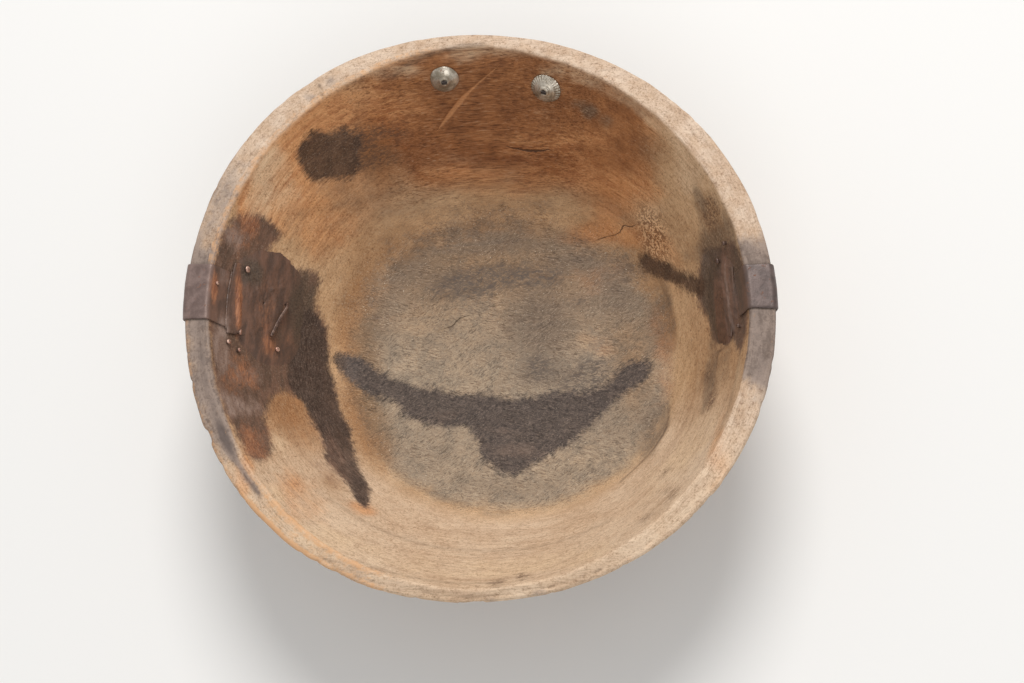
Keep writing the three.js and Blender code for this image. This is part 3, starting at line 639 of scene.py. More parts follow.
def wood():
    m = Look("worn_wood")
    combed, tangle, rim, bleached, oiled = map(m.value, ("combed", "tangle", "rim", "bleached", "oiled"))
    broad = m.noise(42, 3, 0.6)
    blotch = m.noise(12, 4, 0.62)
    fibre = m.blend(combed, m.noise(0.95, 4, 0.72, m.grain(0, 9), 0.5),
                    m.noise(1.0, 4, 0.7, m.along_rim(7), 0.8))
    streak = m.blend(combed, m.noise(4.5, 4, 0.62, m.grain(0, 14), 0.7),
                     m.noise(5.0, 4, 0.6, m.along_rim(9), 0.8))
    rising = m.noise(0.9, 3, 0.78, m.grain(32, 4), 1.2)
    falling = m.noise(0.8, 3, 0.78, m.grain(-14, 5), 1.0)
    fleck = m.noise(3.4, 4, 0.72, distortion=0.8)
    speck = m.noise(0.8, 2, 0.6)
    grit = m.noise(1.3, 3, 0.8)
    crossed = m.blend(tangle, fibre, rising)
    ragged = m.around((blotch, 0.9), (crossed, 0.9), (streak, 0.5))
    gentle = m.around((m.noise(18, 2, 0.5), 0.8), (streak, 0.5))

    m.base = m.tones(broad, (198, 160, 120), (218, 181, 140), 0.35, 0.68)
    m.lay(oiled, m.tones(blotch, (144, 92, 54), (176, 118, 72), 0.3, 0.7))
    m.lay(bleached, m.tones(broad, (215, 184, 152), (229, 202, 172), 0.3, 0.7))
    dry = m.tones(blotch, (152, 136, 117), (186, 165, 140), 0.3, 0.7)
    dry = m.mix(m.fade(fleck, 0.5, 0.3, 0.6), dry, (112, 101, 88))
    dry = m.mix(m.fade(fleck, 0.56, 0.72, 0.45), dry, (206, 176, 140))
    m.lay(m.painted("dry", gentle, 0.1, 0.9), dry)
    orange = m.tones(streak, (205, 137, 85), (231, 171, 116), 0.25, 0.75)
    m.lay(m.painted("orange", gentle, 0.1, 0.9, 0.85), orange)
    # Paler wood, and the painted highlight along the upper right lip.
    m.lay(m.painted("pale_and_highlight", gentle, 0.15, 0.9, 0.8), (230, 200, 164))
    # Painted shade and darker wood: a multiplied darkening, mostly over the upper floor and the upper wall.
    m.lay(m.painted("umber_and_shade", m.times(ragged, 0.5), 0.0, 1.0), (206, 184, 160), "MULTIPLY")
    m.lay(rim, m.tones(blotch, (202, 172, 144), (220, 196, 173), 0.3, 0.7))
    # Greyer, duller wood, which also paints the shade round the rosettes.
    dull_and_shade = m.mix(m.times(tangle, 0.6), m.tones(crossed, (94, 78, 64), (136, 112, 90)),
                 m.tones(rising, (82, 76, 72), (126, 114, 102)))
    flecked = m.add(ragged, m.times(m.around((fleck, 1.0)), tangle))
    m.lay(m.painted("dull_and_shade", flecked, 0.2, 0.85, 0.8), dull_and_shade)
    rusted = m.painted("rusted", m.times(ragged, 0.6), 0.25, 0.8, 0.85)
    m.lay(rusted, m.tones(fibre, (78, 56, 44), (120, 80, 54)))

    # fibres: darker and paler threads along the grain, crossing each other on the floor
    thread = m.blend(tangle, fibre, m.blend(m.fade(m.noise(24, 2, 0.5), 0.42, 0.58), rising, falling))
    mottle = m.sum((grit, 0.6), (fleck, 0.4))
    smooth = m.most(rim, m.times(bleached, 0.8), m.times(combed, 0.95))
    calm = m.rest(m.times(smooth, 0.62))
    banded = m.times(calm, m.rest(m.most(m.times(tangle, 0.85), m.times(oiled, 0.45))))
    m.strew(thread, 0.56, 0.32, 0.72, (108, 82, 64), calm, "MULTIPLY")
    m.strew(thread, 0.53, 0.78, 0.3, (240, 212, 180), calm, "SCREEN")
    m.strew(streak, 0.56, 0.32, 0.5, (158, 124, 96), banded, "MULTIPLY")
    m.strew(mottle, 0.52, 0.34, 0.75, (150, 124, 100), smooth, "MULTIPLY")
    m.strew(mottle, 0.53, 0.7, 0.3, (236, 214, 184), smooth, "SCREEN")
    worm = m.noise(3.6, 1, 0.5, distortion=2.2)
    m.strew(worm, 0.52, 0.42, 0.85, (120, 84, 58), m.value("worm"))
    m.strew(worm, 0.54, 0.6, 0.9, (232, 190, 146), m.value("worm"))
    m.strew(speck, 0.36, 0.26, 0.45, (78, 60, 48))
    m.strew(speck, 0.42, 0.3, 0.45, (80, 72, 66), tangle)
    m.strew(m.noise(1.0, 1, 0.5), 0.69, 0.77, 0.6, (222, 208, 188), tangle)
    m.lay(m.times(m.value("seam"), m.fade(thread, 0.75, 0.35, 1.0, 0.5)), (84, 66, 52))

    # wood soaked with pitch round the patches, and stains
    comb = m.noise(2.4, 2, 0.6, m.grain(40, 3))
    feather = m.around((thread, 8.0), (comb, 6.0), (blotch, 10.0), (fleck, 6.0))
    soaked, soaked_height = tar(m)
    soak = m.painted("soak", feather, 4.0, -5.0, 0.94)
    m.lay(soak, soaked)
    brownish = m.value("stain_brown")
    broken = m.fade(m.noise(2.4, 4, 0.8, m.grain(8, 2.2), 1.2), 0.44, 0.56, 1.0, 0.15)
    faint = m.times(m.painted("faint", feather, 6.0, -6.0, 0.8), broken)
    m.lay(faint, m.mix(brownish, (86, 76, 70), (94, 68, 52)))
    purple = m.tones(m.sum((thread, 0.6), (fleck, 0.4)), (49, 42, 40), (101, 88, 82), 0.38, 0.66)
    purple = m.mix(m.painted("thin", ragged, 0.2, 0.9, 0.6), purple, (128, 108, 96))
    brown = m.tones(m.sum((thread, 0.5), (blotch, 0.5)), (65, 47, 36), (99, 74, 57), 0.4, 0.62)
    stain = m.painted("stain", feather, 3.0, -4.0, 0.92)
    m.lay(stain, m.mix(brownish, purple, brown))
    covered = m.most(soak, stain)
    m.strew(thread, 0.55, 0.34, 0.35, (150, 136, 128), covered, "MULTIPLY")
    m.strew(grit, 0.54, 0.7, 0.45, (164, 144, 128), covered)
    m.strew(grit, 0.47, 0.32, 0.45, (70, 56, 50), covered)
    smeared = m.painted("combings", m.around((blotch, 0.6), (streak, 1.2)), 0.2, 0.9, 0.6)
    m.lay(smeared, m.tones(fibre, (112, 82, 70), (164, 132, 112)))
    m.strew(m.noise(1.1, 1, 0.5), 0.72, 0.8, 0.45, (200, 188, 174), covered)

    # sooty rim beside the straps, pale worn edges, the gouge and the cracks
    sooty = m.add(m.value("soot"), m.around((blotch, 1.3), (streak, 0.8)))
    soot = m.tones(m.sum((streak, 0.5), (fleck, 0.5)), (104, 90, 83), (154, 136, 125), 0.38, 0.6)
    m.lay(m.fade(sooty, 0.2, 0.95, 0.9), soot)
    m.strew(m.add(sooty, m.around((fleck, 1.2), (grit, 0.8))), 0.85, 1.9, 0.8, (92, 80, 76))
    worn = m.painted("worn", m.around((m.noise(5, 5, 0.75), 1.5), (fibre, 0.8)), 0.4, 1.0, 0.75)
    m.lay(worn, (216, 164, 116))
    gouge = m.fade(m.off_line("gouge"), 0.9, -0.5)
    m.lay(m.times(gouge, m.fade(thread, 0.3, 0.7, 0.85, 0.5)), (206, 146, 98))
    crack = m.fade(m.off_line("crack", m.around((m.noise(3.0, 3, 0.6), 2.2))), 0.45, -0.45)
    crack = m.times(crack, m.fade(m.value("crack_w"), 0.03, 0.2))
    m.lay(m.times(crack, 0.8), (58, 40, 30))

    m.bump(m.sum((m.times(thread, calm), 0.5), (m.times(streak, banded), 0.7), (blotch, 0.5), (speck, 0.12),
                 (crack, -1.4), (gouge, -0.5), (m.times(soaked_height, soak), 0.7)), 0.6)
    gloss = m.most(soak, m.times(m.value("stain_gloss"), stain))
    return m.finish(m.add(m.fade(gloss, 0.0, 1.0, 0.38, 0.72), m.around((blotch, 0.2))), specular=0.35)


def pitch_look():
    """Pitch, with a strip of rusty iron that stands out of it."""
    m = Look("pitch")
    m.base, height = tar(m)
    rust = m.tones(m.noise(5, 4, 0.65), (88, 64, 51), (114, 82, 65))
    m.lay(m.times(m.value("strip"), 0.85), rust)
    m.bump(height, 0.7)
    return m.finish(m.fade(m.noise(4, 3, 0.6), 0.35, 0.65, 0.46, 0.3), specular=0.4)


def iron(name, body, light, rust, rust_share, metallic=0.55, rough=0.5, tarry=False):
    m = Look(name)
    patches = m.noise(8, 4, 0.65, distortion=0.4)
    grit = m.noise(1.2, 3, 0.7)
    scratches = m.noise(0.8, 3, 0.6, m.grain(80, 7))
    m.base = m.tones(patches, body, light, 0.35, 0.68)
    m.strew(scratches, 0.58, 0.75, 0.4, light)
    m.strew(grit, 0.38, 0.26, 0.4, rust)
    clean = 0.68 - rust_share * 0.4
    rusty = m.fade(m.add(m.noise(5, 4, 0.7), m.around((grit, 0.3))), clean, clean + 0.1)
    m.lay(m.times(rusty, 0.8), m.tones(grit, rust, (150, 92, 56)))
    height = m.sum((patches, 0.6), (grit, 0.25), (rusty, 0.3), (scratches, 0.12))
    metal = m.fade(rusty, 0.0, 1.0, 0.1, metallic)
    if tarry:
        tarred = m.value("tarred")
        pitched, pitched_height = tar(m)
        m.lay(tarred, pitched)
        height = m.add(height, m.times(pitched_height, tarred))
        metal = m.times(metal, m.rest(tarred))
    m.bump(height, 0.35)
    return m.finish(m.fade(rusty, 0.0, 1.0, 0.8, rough), metal)


def nail_look():
    """Dull iron with a rubbed, coppery point."""
    m = Look("nail_iron")
    grit = m.noise(0.9, 3, 0.7)
    patches = m.noise(3, 3, 0.6)
    m.base = m.tones(patches, (84, 66, 58), (122, 98, 86))
    point = m.painted("point", m.around((grit, 0.5)), 0.35, 0.8)
    m.lay(point, m.tones(patches, (170, 124, 106), (214, 180, 162)))
    m.bump(m.sum((grit, 0.5), (patches, 0.6)), 0.25)
    return m.finish(m.fade(grit, 0.3, 0.7, 0.5, 0.32), 0.35)


WOOD = wood()
PITCH_LOOK = pitch_look()
# The straps are one iron in a lit and a shaded copy: the left strap's colours are painted lighter and the
# right strap's darker. This is painted light and shade for how the light falls on each side.
LEFT_IRON_PAINTED_LIT = iron("left_strap_iron_painted_lit", (112, 93, 87), (138, 117, 110), (98, 66, 50), 0.16, 0.3, 0.42, True)
RIGHT_IRON_PAINTED_SHADE = iron("right_strap_iron_painted_shade", (84, 71, 67), (108, 92, 87), (98, 66, 50), 0.16, 0.3, 0.42, True)
RUSTY_IRON = iron("rusty_iron", (84, 60, 48), (110, 80, 62), (112, 66, 42), 0.5, 0.2, 0.5, True)
FORGED_IRON = iron("forged_iron", (70, 64, 62), (104, 96, 92), (96, 62, 44), 0.3, 0.6)
SILVER = iron("silvered_metal", (150, 138, 120), (222, 212, 196), (104, 84, 64), 0.16, 0.7, 0.34)
NAIL_IRON = nail_look()

# The bowl, finely carved
COLUMNS = 600
rows = stations([4.0, *ends[:-1], LAST - 6.0], [22, 9, 62, 4, 8, 5, 26, 9, 6])
AT, PHI = np.meshgrid(rows, np.linspace(0, 2 * math.pi, COLUMNS, endpoint=False), indexing="ij")
DEG = np.degrees(PHI)
FLAT = laid_flat(AT, PHI).reshape(-1, 2)


def band(low, high, soft_edge):
    """1 from low to high along the section, falling to 0 over the soft edge on either side."""
    return np.clip((AT - low) / soft_edge + 1, 0, 1) * np.clip((high - AT) / soft_edge + 1, 0, 1)


def arc(low, high, soft_edge):
    """The same round the bowl, in degrees, from low up to high."""
    middle = (low + high) / 2
    away = np.abs((DEG - middle + 180) % 360 - 180)
    share = np.clip(((high - low) / 2 - away) / soft_edge + 1, 0, 1)
    return share * share * (3 - 2 * share)


place = surface(AT, PHI)
wavy = roughly(place, 70, 1, 2)
hewn = roughly(place * [1.0, 1.0, 1.6], 17, 2, 2)
small = roughly(place, 5.5, 3, 2)
inner_wall = band(WALL_AT, WALL_END - 4, 12)
outer_wall = band(ARRIS_END + 6, FLANK_END, 10)

# where straps, patches, pitch, rosettes and pins lie, the wood keeps the model's shape
repairs = np.maximum.reduce([arc(*around) * band(*along) for around, along in (
    ((166, 183, 2), (LIP_AT - 26, ARRIS_END + 34, 4)),
    ((351, 370.5, 2), (LIP_AT - 24, ARRIS_END + 32, 4)),
    ((152, 190, 3), (LIP_AT - 100, LIP_AT - 12, 5)),
    ((346, 378, 3), (LIP_AT - 76, LIP_AT - 14, 5)),
    ((92, 103, 3), (LIP_AT - 34, LIP_AT - 10, 4)),
    ((67, 80, 3), (LIP_AT - 38, LIP_AT - 12, 4)),
    ((66, 104, 4), (ARRIS_END + 2, ARRIS_END + 80, 6)))])

lift = 0.55 * wavy * (inner_wall + outer_wall)
lift += 0.32 * hewn * (inner_wall + 0.5 * band(COVE_AT - 2, WALL_AT + 6, 14))
lift += 0.35 * wavy * (AT < COVE_AT) * np.clip(AT / 30, 0, 1) + 0.12 * small * (AT < LIP_AT)
# shallow cuts of the adze outside, with low ridges between them
lift += (0.3 - 1.1 * np.abs(roughly(place * [1.0, 1.0, 2.1], 27, 12, 1))) * outer_wall
# turned-over ridges left by the gouge low on the wall
ridge = np.sin((AT - WALL_AT) / 5.2 + 2.2 * wavy + 0.8 * np.sin(PHI * 3))
lift += 0.16 * ridge * band(WALL_AT - 6, WALL_AT + 50, 10) * (0.4 + arc(200, 330, 40))
# chips and wear along both edges of the rim
chips = np.clip(roughly(place, 9, 5, 3) - 0.22, 0, 1) * band(WALL_END - 1, ARRIS_END + 1, 2)
lift -= 2.2 * chips * band(LAND_END - 1, ARRIS_END + 2, 1.5) * (0.35 + 0.65 * arc(185, 350, 12))
lift -= 0.9 * chips * band(WALL_END - 2, LIP_AT + 1, 1.5)
lift += 0.3 * roughly(place, 14, 6, 2) * band(LIP_AT, LAND_END, 2)
gouge_d, gouge_w = (made.reshape(AT.shape) for made in line(FLAT, GOUGE, (0.1, 0.4, 1.7, 1.5, 0.2)))
lift -= 0.7 * np.clip(gouge_w + 0.8 - np.abs(gouge_d), 0, 1.5) * (gouge_w > 0)
lift = lift * (1 - repairs) - 0.05 * repairs
carved = place + outward(AT, PHI) * lift[..., None]

# the mouth is worn wider at the handle's side, and the outline wanders a little
worn_mouth = arc(88, 96, 20) * band(LIP_AT - 6, LIP_AT + 2.5, 9)
wander = 0.5 * roughly(place * [1, 1, 0.2], 26, 8, 2) * band(WALL_END, ARRIS_END + 4, 6)
wander -= 1.5 * arc(204.2, 206.0, 1.2) * band(LAND_END - 1, ARRIS_END + 6, 4)
radial = (2.2 * worn_mouth + wander) * (1 - repairs)
carved[..., 0] += radial * np.cos(PHI)
carved[..., 1] += radial * np.sin(PHI)
carved[..., 2] = np.maximum(carved[..., 2], 0.0)

# the rings run from the floor up and over the rim, so their faces are turned over
quads, fans = tube(*AT.shape)
bowl = piece("carved_bowl", np.concatenate([carved.reshape(-1, 3), [[0, 0, THICK]], [[0, 0, 0]]]),
             [quad[::-1] for quad in quads] + fans, "bowl", "worn_wood", WOOD, ["bowl"])


# Paint on the bowl
def paint(name, values, kind="FLOAT"):
    values = np.asarray(values, float).reshape(AT.size, -1)
    attribute(bowl, name, np.concatenate([values, values[:1], values[-1:]]), kind)


def nearest(*outlines):
    return np.minimum.reduce([outline(FLAT, o) for o in outlines])


MEAN_RADIUS = 170.0
round_bowl = np.where(PHI > math.pi, PHI - 2 * math.pi, PHI) * MEAN_RADIUS
paint("sweep", np.stack([round_bowl, AT, AT * 0], -1) * METRES, "FLOAT_VECTOR")
paint("combed", band(WALL_AT, ARRIS_END, 16) * (1 - arc(66, 114, 28)) * (1 - arc(250, 292, 28)))
paint("soak", nearest(LEFT_SOAK, RIGHT_SOAK))
paint("stain", np.minimum(nearest(LEFT_STREAK, OVAL), nearest(DIAGONAL, SMILE) - 2.3))
east, north = FLAT.T.reshape(2, *AT.shape)
paint("stain_brown", np.clip((AT - 100) / 15, 0, 1) * (1 - 0.7 * (north < 60) * (east < 0)))
paint("stain_gloss", 0.7 * (east < -60) * np.clip((AT - 90) / 20, 0, 1))
spots = np.minimum.reduce([np.hypot(*(FLAT - (x, y)).T) - radius for x, y, radius in SPOTS])
paint("faint", np.minimum(nearest(OVAL_TAIL, FLOOR_PATCH, SMOKE), spots))
grime = np.clip(0.3 + 0.9 * roughly(place * [1, 1, 1.6], 46, 13, 3), 0, 0.75) * (AT > ARRIS_END + 1)
# The pale band just under the lip from 12 to 66 degrees is the lip's paler bevel with a painted highlight
# along its edge.
at_least = {"dull_and_shade": grime, "pale_and_highlight": 0.5 * band(WALL_END - 7, LIP_AT, 9) * arc(12, 66, 12)}
for tone, patches in PATCHES.items():
    paint(tone, np.maximum(soft(FLAT, patches), np.ravel(at_least.get(tone, 0))))
seam = np.ones(len(FLAT))
for points, half_width, strength in SEAMS:
    seam *= 1 - strength * np.exp(-(to_line(FLAT, points)[0] / half_width) ** 2)
paint("seam", 1 - seam)
rim_band = np.clip((AT - LIP_AT + 5) / 3, 0, 1) * np.clip((ARRIS_END + 32 - AT) / 30, 0, 1)
paint("rim", band(LIP_AT - 1, ARRIS_END + 2, 2.5) * (1 - 0.8 * arc(222, 318, 22)))
by_straps = np.maximum(0.85 * arc(172, 206, 9), 1.1 * arc(346, 366, 11)) + 0.6 * arc(152, 168, 8)
inner_edge = band(LIP_AT + 3, LAND_END - 6.5, 4) * (0.4 * arc(182, 208, 8) + 0.95 * arc(207, 220, 5))
paint("soot", rim_band * (by_straps + soft(laid_flat(AT, PHI), RIM_SPOTS)) + inner_edge)
paint("worn", band(LAND_END + 0.5, ARRIS_END + 1, 1.5) * (0.3 + 0.3 * arc(186, 232, 12))
      + (0.3 + 0.35 * arc(104, 166, 10)) * band(WALL_END - 1, LIP_AT + 1.5, 2)
      + 0.5 * rim_band * arc(226, 248, 12))
oily = arc(50, 106, 13) + 0.5 * arc(106, 132, 12) + 0.35 * arc(195, 225, 20) + 0.2 * arc(325, 360, 20)
paint("oiled", np.clip(band(WALL_AT + 34, LIP_AT - 6, 22) * oily, 0, 1))
paint("bleached", np.clip(band(WALL_AT + 14, ARRIS_END, 24) * arc(225, 325, 25), 0, 1))
paint("dry", np.clip(np.clip((COVE_AT + 22 + 8 * arc(240, 360, 40) - AT) / 26, 0, 1)
                     + 0.18 * band(WALL_AT, WALL_AT + 40, 20) * arc(40, 160, 20)
                     + 0.4 * (AT > ARRIS_END + 3), 0, 1))
paint("tangle", np.clip((WALL_AT + 24 - AT) / 30, 0, 1))
paint("gouge_d", gouge_d)
paint("gouge_w", gouge_w)
crack_d, crack_w = np.full(len(FLAT), 50.0), np.zeros(len(FLAT))
for points, widths in CRACKS:
    d, w = line(FLAT, points, widths)
    closer = np.abs(d) < np.abs(crack_d)
    crack_d, crack_w = np.where(closer, d, crack_d), np.where(closer, w, crack_w)
paint("crack_d", crack_d)
paint("crack_w", crack_w)

# Repairs: LEFT and RIGHT are the angles of the straps' middle lines
LEFT, RIGHT = 174.4, 0.7


def sheet(name, node, slot, look, at, phi, low, top, wrapped=False, tarred=1.0):
    """A piece on the wood between two heights over it, and where each of its points is laid flat."""
    skin = slab(lifted(at, phi, low), lifted(at, phi, top), wrapped)
    made = piece(name, *skin, "bowl", slot, look, [node])
    flat = np.tile(laid_flat(at, phi).reshape(-1, 2), (2, 1))
    paint_tar(made, flat, np.tile(np.broadcast_to(tarred, phi.shape).ravel(), 2))
    return made, flat


# Iron straps folded over the rim
def strap(name, node, angle, width, inner_leg, outer_leg, seed, look):
    at = stations([ARRIS_END + outer_leg, ARRIS_END, LAND_END, LIP_AT, WALL_END, LIP_AT - inner_leg],
                  [16, 8, 10, 6, 15])
    across = np.concatenate([[-1, -0.985, -0.96], np.linspace(-0.9, 0.9, 25), [0.96, 0.985, 1]])
    ragged = 0.35 * roughly(np.stack([at, at * 0, at * 0], -1), 7, seed, 2)[:, None]
    ends_near = np.minimum(np.abs(at - at[0]), np.abs(at - at[-1]))[:, None]
    at = at[:, None]
    phi = np.radians(angle) + across * (width / 2 + ragged * np.abs(across) ** 6) / radius_at(at)
    spots = surface(at, phi)
    dents = 0.16 * roughly(spots, 11, seed + 1, 2) + 0.05 * roughly(spots, 3, seed + 2, 2)
    edge = 1 - np.minimum((1 - np.abs(across)) * width / 2, ends_near) / 0.5
    top = SEAT + STRAP + dents - 0.45 * np.clip(edge, 0, 1) ** 2
    tarred = np.clip((LIP_AT + 0.5 - at) / 4, 0, 0.95) + 0.3 * (at > ARRIS_END + 2)
    sheet(name, node, "strap_iron", look, at, phi, SEAT, top, tarred=tarred)


# The left strap takes the iron painted lit, and the right strap the iron painted in shade.
strap("strap_left", "left_rim_strap", LEFT, 40, 19, 26, 11, LEFT_IRON_PAINTED_LIT)
strap("strap_right", "right_rim_strap", RIGHT, 30.5, 18, 24, 15, RIGHT_IRON_PAINTED_SHADE)


# Patches of sheet iron and the pitch over them
def plate(name, node, angle, corners, seed):
    share = np.r_[0, 0.008, np.linspace(0.03, 0.97, 26), 0.992, 1]
    down, across = np.meshgrid(share, share, indexing="ij")
    depth, aside = ((a * (1 - down) + b * down) * (1 - across) + (d * (1 - down) + c * down) * across
                    for a, b, c, d in zip(*corners))
    at, phi = beside(angle, depth, aside)
    edge = np.minimum(np.minimum(down, 1 - down), np.minimum(across, 1 - across)) / 0.01
    top = SEAT + PLATE - 0.35 * np.clip(1 - edge, 0, 1) ** 2 + 0.08 * roughly(surface(at, phi), 9, seed, 2)
    sheet(name, node, "rusty_iron", RUSTY_IRON, at, phi, SEAT, top, tarred=0.9)


plate("patch_left", "left_patch_plate", LEFT, [(20.5, -28), (64, -39.8), (77, 13.9), (20.5, 24)], 21)
plate("patch_right", "right_patch_plate", RIGHT, [(34, -24), (57.5, -16.2), (43, 33.7), (19.8, 20.3)], 22)


def pitch(name, node, angle, depth, aside, spread_of, seed, relief):
    """A lumpy mound that thins out into the wood. relief(flat) adds to its height."""
    share = np.r_[0.02, np.linspace(0.05, 1.0, 56), 1.03, 1.07]
    turns = np.linspace(0, 2 * math.pi, 220, endpoint=False)
    eighths = np.arange(8) * math.pi / 4
    spread = np.array(spread_of, float)
    corner = smoothed(np.stack([np.cos(eighths) * spread, np.sin(eighths) * spread], -1), True, 23)
    angles = np.arctan2(corner[:, 1], corner[:, 0]) % (2 * math.pi)
    order = np.argsort(angles)
    size = np.interp(turns, angles[order], np.hypot(*corner.T)[order], period=2 * math.pi)
    circle = np.stack([np.cos(turns), np.sin(turns), turns * 0], -1)
    size = size + 1.6 * roughly(circle * 12, 3.0, seed, 3) + 0.8 * roughly(circle * 30, 2.0, seed + 1, 2)
    s, t = np.meshgrid(share, turns, indexing="ij")
    at, phi = beside(angle, depth - np.cos(t) * size * s, aside - np.sin(t) * size * s)
    spots = surface(at, phi)
    crown = SEAT + PLATE + SEAT + PITCH - 0.3
    lumps = 0.6 * roughly(spots, 9, seed + 2, 3) + 0.22 * roughly(spots, 3, seed + 3, 2)
    near = np.minimum(s, 1)
    top = (crown + lumps) * (1 - near ** 3) + relief(laid_flat(at, phi)) * (1 - near ** 8)
    top += 0.1 - 6 * np.clip(s - 1, 0, 1)
    return sheet(name, node, "pitch", PITCH_LOOK, at, phi, -0.5, np.maximum(top, -0.4), True)


def left_relief(flat):
    """The ridge along the upper edge of the sheet iron, and drops of pitch."""
    flat, shape = flat.reshape(-1, 2), flat.shape[:-1]
    away = to_line(flat, [(-216, 60), (-218, 38), (-217, 17), (-218, -17)])[0]
    made = 1.3 * np.exp(-(away / 2.2) ** 2)
    for x, y, half_width, height in ((-166, -20, 1.5, 1.0), (-185, 43, 2.0, 0.8), (-176, 14, 2.5, 0.7),
                                     (-203, 0, 3.0, 0.7), (-190, -28, 2.5, 0.8), (-200, 40, 2.0, 0.6)):
        made += height * np.exp(-((flat - (x, y)) ** 2).sum(1) / half_width ** 2)
    return made.reshape(shape)


def strip_of(flat):
    """1 on the strip of rusty iron that stands out of the right pitch."""
    return np.clip(0.5 - outline(flat.reshape(-1, 2), RIGHT_STRIP) / 1.6, 0, 1).reshape(flat.shape[:-1])


left_pitch, left_flat = pitch("pitch_left", "left_pitch_seal", LEFT, 53, -8.4,
                              [29, 36, 38, 40, 40, 46, 42, 36], 31, left_relief)
attribute(left_pitch, "strip", np.zeros(len(left_flat)))
right_pitch, right_flat = pitch("pitch_right", "right_pitch_seal", RIGHT, 42, 5.2,
                                [19, 25, 31, 29, 26, 27, 34, 28], 35, lambda flat: 0.3 * strip_of(flat))
attribute(right_pitch, "strip", strip_of(right_flat) * np.clip((24 - right_flat[:, 1]) / 14, 0.15, 1))


def bead(name, angle, depth, asides, radius, lift_of, seed, facets=14):
    """A thin run of pitch in the joint between a strap and its patch."""
    aside = np.linspace(*asides, 70)
    depths = depth + 0.25 * roughly(np.stack([aside, aside * 0, aside * 0], -1), 6, seed, 2)
    at, phi = beside(angle, depths, aside)
    path = lifted(at, phi, lift_of)
    taper = np.clip(np.minimum(aside - aside[0], aside[-1] - aside) / 2.5, 0.2, 1) ** 0.5
    radii = radius * (1 + 0.3 * roughly(path, 4, seed + 1, 2)) * taper
    made = piece(name, *swept(path, radii, facets, lambda turns, step: 1), "bowl", "pitch", PITCH_LOOK)
    flat = np.repeat(laid_flat(at, phi), facets, axis=0)
    flat = np.concatenate([flat, flat[:1], flat[-1:]])
    paint_tar(made, flat)
    attribute(made, "strip", np.zeros(len(flat)))


bead("pitch_bead_left", LEFT, 19.7, (-21, 21), 1.0, 0.75, 51)
bead("pitch_bead_right", RIGHT, 18.7, (-15.5, 16), 0.8, 0.6, 55)

# Nails. A head is drawn by rings, each with its height over the seat and its radius, up to the shank.
SHANK = 1.25
NAIL_HEAD = [(-1.7, 0.6), (-1.66, 1.8), (-1.5, 2.6), (-1.0, 3.5), (-0.4, 4.0), (0.0, 3.9), (0.02, SHANK)]
HEAD_HEIGHTS, HEAD_RADII = zip(*NAIL_HEAD)
NAIL_FACETS = 20
rusting = []


def local(origin, axes, points_in):
    return np.asarray(origin) + np.asarray(points_in, float) @ axes


def head_seat(at, phi):
    """Where a nail's head seats in the wood outside, behind a place on the inner wall and square to it."""
    start, way = surface(at, phi), -outward(at, phi)
    turns = phi + np.linspace(-0.12, 0.12, 41)
    outside = surface(np.linspace(ARRIS_END, FLANK_END, 400)[:, None], turns)
    gap = outside - start
    along_way = gap @ way
    off = np.linalg.norm(gap - along_way[..., None] * way, axis=-1)
    return 1.2 - float(along_way.flat[off.argmin()])


def nail(name, node, angle, depth, aside, stands, burr, lean, seed):
    at, phi = beside(angle, depth, aside)
    origin, axes = frame_at(at, phi)
    under = head_seat(at, phi)
    levels = [under + height for height in HEAD_HEIGHTS]
    levels += [0, stands - 1.8, stands - 1.2, stands - 0.7, stands - 0.25, stands]
    radii = [*HEAD_RADII, SHANK, SHANK, burr, burr * 1.02, burr * 0.78, 0.3]
    shift = [0.0] * 8 + [0.25, 0.5, 0.75, 0.95, 1.0]
    path = [(lean[0] * s, lean[1] * s, z) for s, z in zip(shift, levels)]
    lobes = np.linspace(0, 6.28, 20)
    wobble = roughly(np.stack([np.cos(lobes), np.sin(lobes), np.full(20, seed * 3.7)], -1), 0.9, seed, 2)

    def lumpy(turns, step):
        return 1 + (0.14 if step > 8 or step < 6 else 0.0) * np.interp(turns, lobes, wobble)

    bar = swept(local(origin, axes, path), radii, NAIL_FACETS, lumpy)
    made = piece(name, *bar, "bowl", "nail_iron", NAIL_IRON, [node])
    rubbed = np.r_[np.repeat(np.r_[np.zeros(9), 0.3, 0.75, 0.9, 0.45], NAIL_FACETS), 0, 0.3]
    attribute(made, "point", rubbed * (0.35 if angle == RIGHT else 1.0))
    rusting.append(local(origin, axes, [[0, 0, under]])[0])


def clinched(name, node, depth, aside, tip_depth, tip_aside):
    """The long nail, bent over and hammered down along the pitch."""
    at, phi = beside(LEFT, depth, aside)
    origin, axes = frame_at(at, phi)
    under = head_seat(at, phi)
    rise = SEAT + PLATE + SEAT + PITCH + SEAT + SHANK
    levels = [under + height for height in HEAD_HEIGHTS] + [0, rise - 1.2]
    straight_part = local(origin, axes, [(0, 0, z) for z in levels])
    share = np.linspace(0.03, 1, 26)
    bow = rise + 1.6 * (1 - share) * np.clip(share * 8, 0, 1) + 0.15 * np.sin(share * 9)
    lay = lifted(*beside(LEFT, depth + (tip_depth - depth) * share, aside + (tip_aside - aside) * share), bow)
    radii = [*HEAD_RADII, SHANK, 1.2, *(1.15 - 0.1 * np.cos(share * 5)), 1.1, 0.5]
    tail = lay[-1] - lay[-2]
    path = np.concatenate([straight_part, lay, [lay[-1] + tail * 0.5], [lay[-1] + tail * 0.8]])

    def squared(turns, step):
        return 1 + 0.09 * np.cos(4 * turns) * (step > 8)

    made = piece(name, *swept(path, radii, NAIL_FACETS, squared), "bowl", "nail_iron", NAIL_IRON, [node])
    rubbed = np.r_[np.zeros(9), 0.45 - 0.35 * share, 0.1, 0.1]
    attribute(made, "point", np.r_[np.repeat(rubbed, NAIL_FACETS), 0, 0.1])
    rusting.append(straight_part[5])


